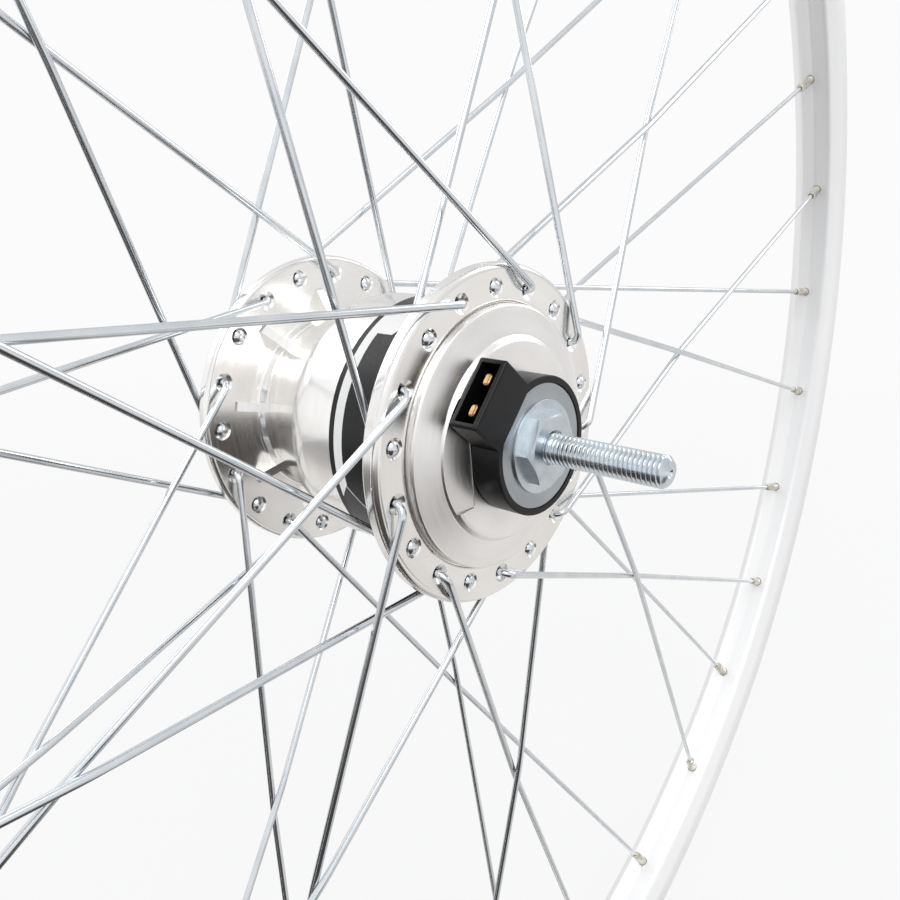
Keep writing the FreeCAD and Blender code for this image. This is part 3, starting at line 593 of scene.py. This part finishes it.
class Side(Enum):
    """Side of the wheel, by the sign of its place along the axle."""

    CONNECTOR = -1
    PLAIN = 1


@dataclass(frozen=True)
class Lacing:
    """Sizes that all spokes share, in millimetres and degrees."""

    spoke_circle: float = 39.0
    spoke_radius: float = 1.0
    weave: float = 1.13  # how far each of two spokes is pushed aside where they cross
    kink_radius: float = 80.0
    head_radius: float = 1.9
    head_height: float = 1.1
    head_sink: float = 0.2  # how deep the head sits in its countersink
    head_edge: float = 0.93  # this and the next over the head's radius
    dome_size: float = 1.15
    neck_size: float = 1.2  # over the shank's radius
    neck_length: float = 0.35
    elbow_inside: Pair = (2.4, 1.9)  # radius, and its corner's distance from the flange
    elbow_outside: Pair = (2.9, 2.6)
    stagger: float = 1.1
    nipple_seat: float = 306.8
    rim_phase: float = 2.7
    side_phase: float = 10.0  # from one side's nipples to the other's
    third_crossing: float = 1.25  # from a spoke's hole round to its third crossing, in steps of its set
    copies: int = 9
    sides: int = 24


@dataclass(frozen=True)
class SpokeSet:
    """Nine alike spokes of one flange, with their nipples."""

    side: Side
    elbow_outside: bool
    hub_phase: float  # angle of the flange's holes
    hub_angle: float  # angle of the first spoke's hole
    turn: float  # angle from there to its nipple, before both phases
    flange_face: float
    flange_inner: float
    lacing: Lacing = Lacing()

    @property
    def label(self) -> str:
        """Name of the set, by its side and by where its heads are."""
        return f"{self.side.name.lower()}_heads_{'in' if self.elbow_outside else 'out'}"

    def corners(self) -> Ring:
        """Give the corners of the first spoke's path.

        Returns:
            Head, elbow, crossing and nipple seat, in millimetres.
        """
        sizes, sign = self.lacing, self.side.value
        outer = sign * (self.flange_face + sizes.elbow_outside[1])
        inner = sign * (self.flange_inner - sizes.elbow_inside[1])
        elbow_y, other_y = (outer, inner) if self.elbow_outside else (inner, outer)
        sunk = self.flange_face - sizes.head_sink
        head_y = sign * (self.flange_inner + sizes.head_sink if self.elbow_outside else sunk)
        side_phase = sizes.side_phase if self.side is Side.CONNECTOR else 0.0
        offset = sizes.rim_phase + side_phase - self.hub_phase
        hub = polar(sizes.spoke_circle, self.hub_angle, elbow_y)
        seat = polar(sizes.nipple_seat, self.hub_angle + self.turn + offset, sign * sizes.stagger)
        share = self.crossing_share(hub, seat)
        crossing = hub.lerp(seat, share)
        weave = -sizes.weave if self.elbow_outside else sizes.weave
        crossing.y = (elbow_y + other_y) / 2 * (1 - share) + seat.y * share + sign * weave
        return [polar(sizes.spoke_circle, self.hub_angle, head_y), hub, crossing, seat]

    def crossing_share(self, hub: Vector, seat: Vector) -> float:
        """Find where on its run the spoke meets the third one that it crosses.

        Args:
            hub: Elbow's corner.
            seat: Nipple's seat in the rim.

        Returns:
            Share of the run from hub to rim.
        """
        run = Vector((seat.x - hub.x, 0.0, seat.z - hub.z))
        start = Vector((hub.x, 0.0, hub.z))
        nearest = (start - run * (start.dot(run) / run.dot(run))).length
        lean = acos(nearest / self.lacing.spoke_circle)
        bisector = radians(360 / self.lacing.copies * self.lacing.third_crossing)
        return nearest * (tan(lean + bisector) - tan(lean)) / run.length

    def round_ring(self, centre: Vector, across: Vector, over: Vector, radius: float) -> Ring:
        """Ring of points round a centre, in the plane of two unit vectors."""
        turns = [2 * pi * i / self.lacing.sides for i in range(self.lacing.sides)]
        return [centre + (across * cos(t) + over * sin(t)) * radius for t in turns]

    def spoke(self) -> Mesh:
        """Make one spoke: domed head, neck, elbow and shank.

        Returns:
            Its mesh, in its place.
        """
        sizes = self.lacing
        corners = self.corners()
        _, hub, _, seat = corners
        elbow = (sizes.elbow_outside if self.elbow_outside else sizes.elbow_inside)[0]
        path = rounded_path(corners, [elbow, sizes.kink_radius], [ELBOW_STEPS, KINK_STEPS])
        way = (path[1] - path[0]).normalized()
        across = way.cross(seat - hub).normalized()
        over = way.cross(across)
        dome = sizes.head_radius * sizes.dome_size
        rings = [[path[0] - way * sizes.head_height]]
        for rise in HEAD_RISES:
            out = rise * sizes.head_height
            radius = sqrt(dome**2 - (out + dome - sizes.head_height) ** 2)
            rings.append(self.round_ring(path[0] - way * out, across, over, radius))
        for along, radius in (
            (0.0, sizes.head_radius * sizes.head_edge),
            (0.0, sizes.spoke_radius * sizes.neck_size),
            (sizes.neck_length, sizes.spoke_radius),
        ):
            rings.append(self.round_ring(path[0] + way * along, across, over, radius))
        for i, point in enumerate(path[1:], start=1):
            ahead = path[min(i + 1, len(path) - 1)] - point
            back = point - path[i - 1]
            now = (ahead.normalized() + back.normalized()).normalized()
            bend = way.rotation_difference(now)
            across, over, way = bend @ across, bend @ over, now
            rings.append(self.round_ring(point, across, over, sizes.spoke_radius))
        rings.append([path[-1]])
        bm = bmesh.new()
        skin(bm, rings)
        return finished_mesh(bm, "spoke_" + self.label, sharp_degrees=50.0)

    def nipple(self) -> Mesh:
        """Make one nipple: round head and body, and a square neck with rounded corners.

        Returns:
            Its mesh, in its place.
        """
        *_, crossing, seat = self.corners()
        way = (crossing - seat).normalized()
        across = way.cross(AXLE).normalized()
        over = way.cross(across)
        bm = bmesh.new()
        rings = []
        for along, half, power in NIPPLE_PROFILE:
            ring = []
            for i in range(NIPPLE_SIDES):
                turn = 2 * pi * i / NIPPLE_SIDES
                c, s = cos(turn), sin(turn)
                reach = half * (abs(c) ** power + abs(s) ** power) ** (-1 / power)
                ring.append(seat + way * along + (across * c + over * s) * reach)
            rings.append(ring)
        skin(bm, rings, closed=True)
        return finished_mesh(bm, "nipple_" + self.label, sharp_degrees=NIPPLE_SHARP)


@dataclass
class Spokes:
    """All 36 spokes and nipples."""

    copier: RoundTheAxle
    sets: tuple[SpokeSet, ...] = (
        SpokeSet(Side.CONNECTOR, False, 13.1, 93.1, -60.0, 32.6, 28.0),
        SpokeSet(Side.CONNECTOR, True, 13.1, 73.1, 60.0, 32.6, 28.0),
        SpokeSet(Side.PLAIN, False, 3.4, 83.4, 60.0, 38.8, 35.0),
        SpokeSet(Side.PLAIN, True, 3.4, 63.4, -60.0, 38.8, 35.0),
    )

    def build(self) -> list[Object]:
        """Make the spokes and nipples and set them in place of the CAD's.

        Returns:
            Six pieces: four sets of spokes, and the nipples of each side.
        """
        steel, nickel = DRAWN_SPOKE_STEEL.build(), NICKEL_BRASS.build()
        made = []
        for side in Side:
            nipples = bmesh.new()
            for group in (one for one in self.sets if one.side is side):
                step = 360 / group.lacing.copies
                mesh = self.copier.bake(group.spoke(), group.lacing.copies, step, steel)
                spokes = piece(f"spokes_{group.label}_drawn", mesh, steel)
                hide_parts(f"spokes_{group.label}")
                made.append(spokes)
                nipples.from_mesh(self.copier.bake(group.nipple(), group.lacing.copies, step, nickel))
            mesh = bpy.data.meshes.new("nipples")
            nipples.to_mesh(mesh)
            nipples.free()
            mesh.set_sharp_from_angle(angle=radians(NIPPLE_SHARP))
            ring = piece(f"nipples_{side.name.lower()}_plated", mesh, nickel)
            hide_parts(f"nipples_{side.name.lower()}")
            made.append(ring)
        for thing in made:
            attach(thing, "wheel")
        return made


# Axle


@dataclass
class ThreadedAxle:
    """Solid axle with an M8 thread of 1.25 mm pitch on both ends, in millimetres."""

    half_length: float = 82.0
    crest: float = 4.0
    root: float = 3.5
    shank: float = 3.95
    pitch: float = 1.25
    chamfer: float = 1.1
    thread_from: float = 46.0
    root_flat: float = 0.08  # the root's share of the pitch
    flank_share: float = 0.54  # both flanks' share of the pitch
    softness: float = 0.65  # how rounded the thread's corners are, from 0 to 1
    run_out: float = 0.8  # length over which the thread's inner end fades
    rows_per_pitch: int = 10
    dimple: Pair = (1.2, 1.6)
    groove_width: float = 3.4
    groove_floor: float = 2.1
    groove: Pair = (-45.4, -19.7)
    groove_angle: float = 141.5
    around: int = 72

    def profile(self, phase: float) -> float:
        """Radius of the thread at a share of its pitch.

        Args:
            phase: Place along the thread, in pitches.

        Returns:
            The radius, with a flat root, a flat crest and softened corners.
        """
        flank = abs((phase % 1.0) - 0.5) * 2
        rise = min(1.0, max(0.0, (flank - self.root_flat) / self.flank_share))
        soft = rise * rise * (3 - 2 * rise)
        return self.root + (self.crest - self.root) * ((1 - self.softness) * rise + self.softness * soft)

    def thread_rings(self, sign: int) -> list[Ring]:
        """Rings of one end's thread, from its inner end to the chamfer's outer edge.

        Args:
            sign: Side of the wheel.

        Returns:
            Rings of points in millimetres.
        """
        pitches = ceil((self.half_length - self.thread_from) / self.pitch + 1)
        rings = []
        for row in range(pitches * self.rows_per_pitch + 1):
            ring = []
            start = self.thread_from - self.pitch + row * self.pitch / self.rows_per_pitch
            depth = self.crest - self.profile(row / self.rows_per_pitch)
            for i in range(self.around):
                share = i / self.around
                along = min(self.half_length, max(self.thread_from, start + sign * share * self.pitch))
                run_out = min(1.0, (along - self.thread_from) / self.run_out)
                limit = self.crest - max(0.0, along - self.half_length + self.chamfer)
                radius = min(self.crest - depth * run_out, limit)
                turn = 2 * pi * share
                ring.append(Vector((radius * sin(turn), sign * along, radius * cos(turn))))
            rings.append(ring)
        return rings

    def shank_ring(self, y: float, grooved: bool) -> Ring:
        """Ring of the plain middle, with or without the wires' groove.

        Args:
            y: Place along the axle.
            grooved: Whether the groove runs through this ring.

        Returns:
            Ring of points in millimetres.
        """
        ring = []
        for i in range(self.around):
            turn = 2 * pi * i / self.around
            radius = self.shank
            off = radians(90 - self.groove_angle) - turn
            sideways = sin(off) * self.shank
            if grooved and cos(off) > 0 and abs(sideways) < self.groove_width / 2:
                radius = self.groove_floor / cos(off)
            ring.append(Vector((radius * sin(turn), y, radius * cos(turn))))
        return ring

    def build(self) -> Object:
        """Make the axle and set it in place of the CAD's.

        Returns:
            The piece.
        """
        near, far = self.thread_rings(-1), self.thread_rings(1)
        low, high = self.groove
        root = self.thread_from
        places = ((-root, False), (low, False), (low, True), (high, True), (high, False), (root, False))
        middle = [self.shank_ring(y, grooved) for y, grooved in places]
        end = self.half_length
        radius, depth = self.dimple
        turns = [2 * pi * i / self.around for i in range(self.around)]
        cap = [Vector((radius * sin(turn), end, radius * cos(turn))) for turn in turns]
        cap_near = [Vector((p.x, -end, p.z)) for p in cap]
        rings = [[Vector((0, depth - end, 0))], cap_near] + near[::-1] + middle
        rings += far + [cap, [Vector((0, end - depth, 0))]]
        bm = bmesh.new()
        skin(bm, rings)
        mesh = finished_mesh(bm, "axle_threaded", sharp_degrees=35.0)
        axle = piece("axle_threaded", mesh, ROLLED_ZINC.build())
        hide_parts("axle")
        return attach(axle, "axle_unit")


# Locknuts


@dataclass
class Locknut:
    """Hexagonal nut with a turned, chamfered face, in millimetres."""

    flats: float = 17.0
    inner: float = 47.0
    face: float = 50.0
    turn: float = 3.3
    face_radius: float = 8.15
    chamfer_slope: float = 0.52
    bore: float = 3.9
    mouth: float = 4.7
    around: int = 120

    def ring(self, radius: float, y: float, sign: int, drop: float) -> Ring:
        """Ring at a radius, kept inside the hexagon, that falls back where the hexagon is wider.

        Args:
            radius: Largest radius of the ring.
            y: Distance from the wheel's middle.
            sign: Side of the wheel.
            drop: Slope by which the ring falls back past the face's radius.

        Returns:
            Ring of points in millimetres.
        """
        points = []
        for i in range(self.around):
            angle = 360 * i / self.around
            reach = min(radius, self.hexagon(angle))
            fall = drop * max(0.0, reach - self.face_radius)
            points.append(polar(reach, angle + self.turn, sign * (y - fall)))
        return points

    def hexagon(self, angle: float) -> float:
        """Radius of the hexagon at an angle from one of its corners."""
        return self.flats / 2 / cos(radians(angle % 60 - 30))

    def build(self, side: Side) -> Object:
        """Make one nut and set it in place of the CAD's.

        Args:
            side: Side of the wheel.

        Returns:
            The piece.
        """
        wide = self.flats  # past the corners, so that these rings follow the hexagon
        profile = (
            (self.bore, self.inner, 0.0), (wide, self.inner, 0.0), (wide, self.face, self.chamfer_slope),
            (self.face_radius, self.face, 0.0), (self.mouth, self.face, 0.0),
            (self.bore, self.face - self.mouth + self.bore, 0.0),
        )
        bm = bmesh.new()
        skin(bm, [self.ring(radius, y, side.value, drop) for radius, y, drop in profile], closed=True)
        label = f"locknut_{side.name.lower()}"
        mesh = finished_mesh(bm, label, sharp_degrees=12.0)
        nut = piece(label + "_faced", mesh, BLUE_ZINC.build())
        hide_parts(label)
        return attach(nut, "axle_unit")


# CAD pieces that keep their shape


@dataclass
class CarriedPieces:
    """CAD nodes that are shown as they are, each group with its finish."""

    groups: tuple[tuple[Finish | LabelFoil, tuple[str, ...]], ...] = (
        (TURNED_ALUMINIUM, ("hub_shell",)),
        (SATIN_ALUMINIUM, ("hub_end_cap",)),
        (EXTRUDED_ALUMINIUM, ("rim",)),
        (BLUE_ZINC, ("lock_washer_connector", "lock_washer_plain", "spacer_plain", "stator_nuts")),
        (ZINC_SHEET, ("terminal_disc", "dust_cap_plain")),
        (BLACK_POLYAMIDE, ("connector_housing", "coil_bobbin")),
        (BRASS, ("contact_blades",)),
        (INSULATION, ("lead_wires",)),
        (STATOR_STEEL, ("claw_plate_connector", "claw_plate_plain", "stator_core", "magnet_yoke")),
        (COPPER, ("coil_winding",)),
        (FERRITE, ("magnets",)),
        (BEARING_STEEL, ("cone_connector", "cone_plain", "cup_connector", "cup_plain",
                         "ball_cage_connector", "balls_connector", "ball_cage_plain", "balls_plain")),
        (RUBBER, ("seal_connector", "seal_plain", "rim_tape")),
        (LabelFoil(), ("label_band",)),
    )

    def dress(self) -> list[Object]:
        """Give every carried piece its finish.

        Returns:
            The pieces.
        """
        done = []
        for finish, names in self.groups:
            material = finish.build()
            for name in names:
                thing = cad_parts[name]
                for slot in thing.material_slots:
                    slot.material = material
                done.append(thing)
        return done


# Studio

SHOWN, HIDDEN = "#FFFFFF", "#000000"  # how much of a tone shows, as a grey


@dataclass(frozen=True)
class PaintedReflection:
    """Painted reflection: a patch of the floor, by direction and distance, that metal mirrors darker or
    lighter than the paper.
    """

    azimuth: float  # degrees from +Y towards +X
    half_width: float
    softness: float
    tone: str
    band: Stops  # distance in metres, and how much of the tone shows there


@dataclass(frozen=True)
class Lamp:
    """Soft square lamp that points at the hub, in metres and watts."""

    name: str
    place: tuple[float, float, float]
    size: float
    watts: float

    def hang(self) -> None:
        """Put the lamp in the scene."""
        data = bpy.data.lights.new(self.name, "AREA")
        data.size = self.size
        data.energy = self.watts
        lamp = bpy.data.objects.new(self.name, data)
        lamp.location = self.place
        lamp.rotation_mode = "QUATERNION"
        lamp.rotation_quaternion = Vector(self.place).to_track_quat("Z", "Y")
        bpy.context.scene.collection.objects.link(lamp)


@dataclass
class Studio:
    """Pale floor, soft lamps, white surroundings and the camera."""

    # distance over which the mirrored floor's painted tones are listed
    reflection_reach: float = 6.0
    # the paper as metal mirrors it, with a painted shadow: dark grey within 0.1 m of the wheel's foot
    paper_tones_with_painted_shadow: Stops = (
        (0.0, "#3E3C3A"), (0.1, "#C9C7C4"), (0.3, "#EBE9E7"), (0.8, "#E6E4E2"), (2.2, "#EAE8E7"),
        (5.0, "#F4F3F2"),
    )
    # painted reflections: patches where metal mirrors the floor darker or lighter than the paper
    painted_reflections: tuple[PaintedReflection, ...] = (
        # painted reflection of a white wall: the floor mirrors white from 1.4 m out, from in front round to
        # the left
        PaintedReflection(-128.0, 84.0, 8.0, "#FFFFFF",
                 ((0.0, HIDDEN), (1.1, HIDDEN), (1.4, SHOWN), (3.0, SHOWN), (6.0, SHOWN))),
        # painted dark reflection: the floor mirrors dark grey within 0.5 m towards the camera, fading out by
        # 1.6 m
        PaintedReflection(-106.0, 61.0, 13.0, "#4A4644",
                 ((0.0, SHOWN), (0.5, SHOWN), (0.85, "#F0F0F0"), (1.35, "#E0E0E0"), (1.6, HIDDEN))),
        # painted dark reflection: a narrow grey band on the right, from 0.45 m to 1 m out
        PaintedReflection(156.0, 7.0, 7.0, "#7C7875",
                 ((0.0, HIDDEN), (0.43, HIDDEN), (0.5, SHOWN), (0.78, SHOWN), (1.02, HIDDEN))),
    )
    floor_half: float = 12.0
    paper: str = "#E8E8E8"
    background: str = "#FBFBFB"
    shadow_reach: Pair = (0.5, 2.2)
    shadow_cover: float = 0.86  # how much of the shadow the background hides close by
    daylight: str = "#F4F6F8"
    daylight_strength: float = 0.7
    shaded_wall: float = 90.0  # azimuth of the darker wall
    shaded_edge: Pair = (-0.3, 0.8)
    shaded_tone: str = "#DEDEDD"
    lamps: tuple[Lamp, ...] = (
        Lamp("key_lamp", (-1.1, -1.1, 1.9), 1.6, 24.0),
        Lamp("side_lamp", (1.6, -0.6, 1.2), 1.2, 8.0),
        Lamp("back_lamp", (-0.4, 1.8, 1.3), 1.4, 8.0),
    )
    camera_place_mm: tuple[float, float, float] = (-176.259, -171.149, 58.189)
    azimuth: float = -48.538  # of the view, from -Y towards +X
    elevation: float = 15.413
    focal_pixels: float = 882.089
    frame_pixels: float = 900.0
    sensor_mm: float = 36.0
    nearest: float = 0.01

    def floor(self) -> None:
        """Lay the floor under the wheel."""
        z, half = CAD_BOX[0].z, self.floor_half
        corners = [(x, y, z) for x, y in ((-half, -half), (half, -half), (half, half), (-half, half))]
        mesh = bpy.data.meshes.new("floor")
        mesh.from_pydata(corners, [], [(0, 1, 2, 3)])
        floor = piece("floor", mesh, self.floor_material())

    def floor_material(self) -> Material:
        """Matte white paper that keeps a faint shadow and shows as the background does.

        Returns:
            The material.
        """
        material, tree = blank_material("white_paper_floor")
        rays = add(tree, "ShaderNodeLightPath")
        place = add(tree, "ShaderNodeTexCoord")["Object"]
        flat = add(tree, "ShaderNodeVectorMath", (place, (1.0, 1.0, 0.0)), operation="MULTIPLY")[0]
        away = add(tree, "ShaderNodeVectorMath", (flat,), operation="LENGTH")["Value"]
        way = add(tree, "ShaderNodeVectorMath", (flat,), operation="NORMALIZE")[0]
        matte = add(tree, "ShaderNodeBsdfDiffuse", {"Color": linear(self.paper)})[0]
        pale = add(tree, "ShaderNodeEmission", {"Color": linear(self.background)})[0]
        mirrored = add(tree, "ShaderNodeEmission", {"Color": self.mirrored_floor(tree, away, way)})[0]
        fade = add(tree, "ShaderNodeMapRange", (away, *self.shadow_reach, self.shadow_cover, 1.0))[0]
        faded = add(tree, "ShaderNodeMixShader", (fade, matte, pale))[0]
        seen = add(tree, "ShaderNodeMixShader", (rays["Is Camera Ray"], matte, faded))[0]
        shown = add(tree, "ShaderNodeMixShader", (rays["Is Glossy Ray"], seen, mirrored))[0]
        add(tree, "ShaderNodeOutputMaterial", {"Surface": shown})
        return material

    def mirrored_floor(self, tree: Tree, away: Socket, way: Socket) -> Socket:
        """Colour of the floor in mirrors: white paper with a painted shadow at the wheel's foot, and painted
        reflections that make it darker or lighter by direction and distance.

        Args:
            tree: Tree of the material.
            away: Distance from under the wheel's centre, in metres.
            way: Direction from there, as a unit vector.

        Returns:
            The colour's socket.
        """
        share = add(tree, "ShaderNodeMapRange", (away, 0.0, self.reflection_reach))[0]
        near = self.ramp(tree, share, self.paper_tones_with_painted_shadow)
        # blend each painted reflection's tone over the paper
        for side in self.painted_reflections:
            outer, inner = side.half_width + side.softness, side.half_width
            edge = cos(radians(outer)), cos(radians(inner))
            width = self.towards(tree, way, side.azimuth, edge)
            band = self.ramp(tree, share, side.band)
            both = add(tree, "ShaderNodeMath", (width, band), operation="MULTIPLY")[0]
            tones = {0: both, MIX_A: near, MIX_B: linear(side.tone)}
            near = add(tree, "ShaderNodeMix", tones, data_type="RGBA")[MIX_RESULT]
        return near

    def towards(self, tree: Tree, way: Socket, azimuth: float, edge: Pair) -> Socket:
        """How much a direction lies towards an azimuth, from nought to one over a soft edge.

        Args:
            tree: Tree that the nodes join.
            way: Direction, as a unit vector.
            azimuth: Degrees from +Y towards +X.
            edge: Cosines of the angles at which the edge begins and ends.

        Returns:
            The share's socket.
        """
        turn = radians(azimuth)
        both = (way, (sin(turn), cos(turn), 0.0))
        facing = add(tree, "ShaderNodeVectorMath", both, operation="DOT_PRODUCT")["Value"]
        return add(tree, "ShaderNodeMapRange", (facing, *edge), interpolation_type="SMOOTHSTEP")[0]

    def ramp(self, tree: Tree, share: Socket, stops: Stops) -> Socket:
        """Colour ramp over distance.

        Args:
            tree: Tree of the material.
            share: Distance over the reach of the floor's mirrored tones.
            stops: Distance in metres and colour of each stop, in order.

        Returns:
            The ramp's colour.
        """
        colour = add(tree, "ShaderNodeValToRGB", (share,))[0]
        elements = colour.node.color_ramp.elements
        for distance, tone in stops[1:-1]:
            elements.new(distance / self.reflection_reach).color = linear(tone)
        for element, (distance, tone) in zip(elements, stops):
            element.position = distance / self.reflection_reach
            element.color = linear(tone)
        return colour

    def world(self) -> None:
        """White surroundings for what is seen and mirrored, and a plain level of light."""
        world = bpy.data.worlds.new("studio")
        bpy.context.scene.world = world
        world.use_nodes = True
        tree = world.node_tree
        tree.nodes.clear()
        rays = add(tree, "ShaderNodeLightPath")
        shown = rays["Is Camera Ray"]
        for kind in ("Is Glossy Ray", "Is Transmission Ray"):
            shown = add(tree, "ShaderNodeMath", (shown, rays[kind]), operation="MAXIMUM")[0]
        light = add(tree, "ShaderNodeBackground", (linear(self.daylight), self.daylight_strength))[0]
        white = add(tree, "ShaderNodeBackground", {"Color": self.wall_tone(tree, rays["Is Camera Ray"])})[0]
        mixed = add(tree, "ShaderNodeMixShader", (shown, light, white))
        add(tree, "ShaderNodeOutputWorld", {"Surface": mixed[0]})

    def wall_tone(self, tree: Tree, seen: Socket) -> Socket:
        """Colour of the walls in mirrors, darker on the right, and the plain background elsewhere.

        Args:
            tree: Tree of the world.
            seen: One where the camera sees the wall itself.

        Returns:
            The colour's socket.
        """
        way = add(tree, "ShaderNodeTexCoord")["Generated"]
        shade = self.towards(tree, way, self.shaded_wall, self.shaded_edge)
        tones = {0: shade, MIX_A: linear("#FFFFFF"), MIX_B: linear(self.shaded_tone)}
        mirrored = add(tree, "ShaderNodeMix", tones, data_type="RGBA")[MIX_RESULT]
        tones = {0: seen, MIX_A: mirrored, MIX_B: linear(self.background)}
        return add(tree, "ShaderNodeMix", tones, data_type="RGBA")[MIX_RESULT]

    def camera(self) -> None:
        """Set the camera where the photograph was taken from."""
        turn, rise = radians(self.azimuth), radians(self.elevation)
        back = Vector((sin(turn) * cos(rise), -cos(turn) * cos(rise), sin(rise)))
        data = bpy.data.cameras.new("camera")
        data.sensor_width = self.sensor_mm
        data.lens = data.sensor_width * self.focal_pixels / self.frame_pixels
        data.clip_start = self.nearest
        camera = bpy.data.objects.new("camera", data)
        camera.rotation_mode = "QUATERNION"
        camera.rotation_quaternion = (-back).to_track_quat("-Z", "Y")
        camera.location = Vector(self.camera_place_mm) * MM
        bpy.context.scene.collection.objects.link(camera)
        bpy.context.scene.camera = camera

    def build(self) -> None:
        """Set up the floor, world, lamps and camera."""
        self.floor()
        self.world()
        for lamp in self.lamps:
            lamp.hang()
        self.camera()
        bpy.context.scene.view_settings.view_transform = "Standard"


def report(things: Iterable[Object]) -> None:
    """Log each piece with its number of faces."""
    for thing in things:
        log.info("%s: %d faces", thing.name, len(thing.data.polygons))


def main() -> None:
    logging.basicConfig(level=logging.INFO, format="%(name)s %(message)s")
    report(CarriedPieces().dress())
    report([ThreadedAxle().build()])
    report(Locknut().build(side) for side in Side)
    copier = RoundTheAxle()
    copier.build()
    report(Spokes(copier).build())
    Studio().build()


if __name__ == "__main__":
    main()
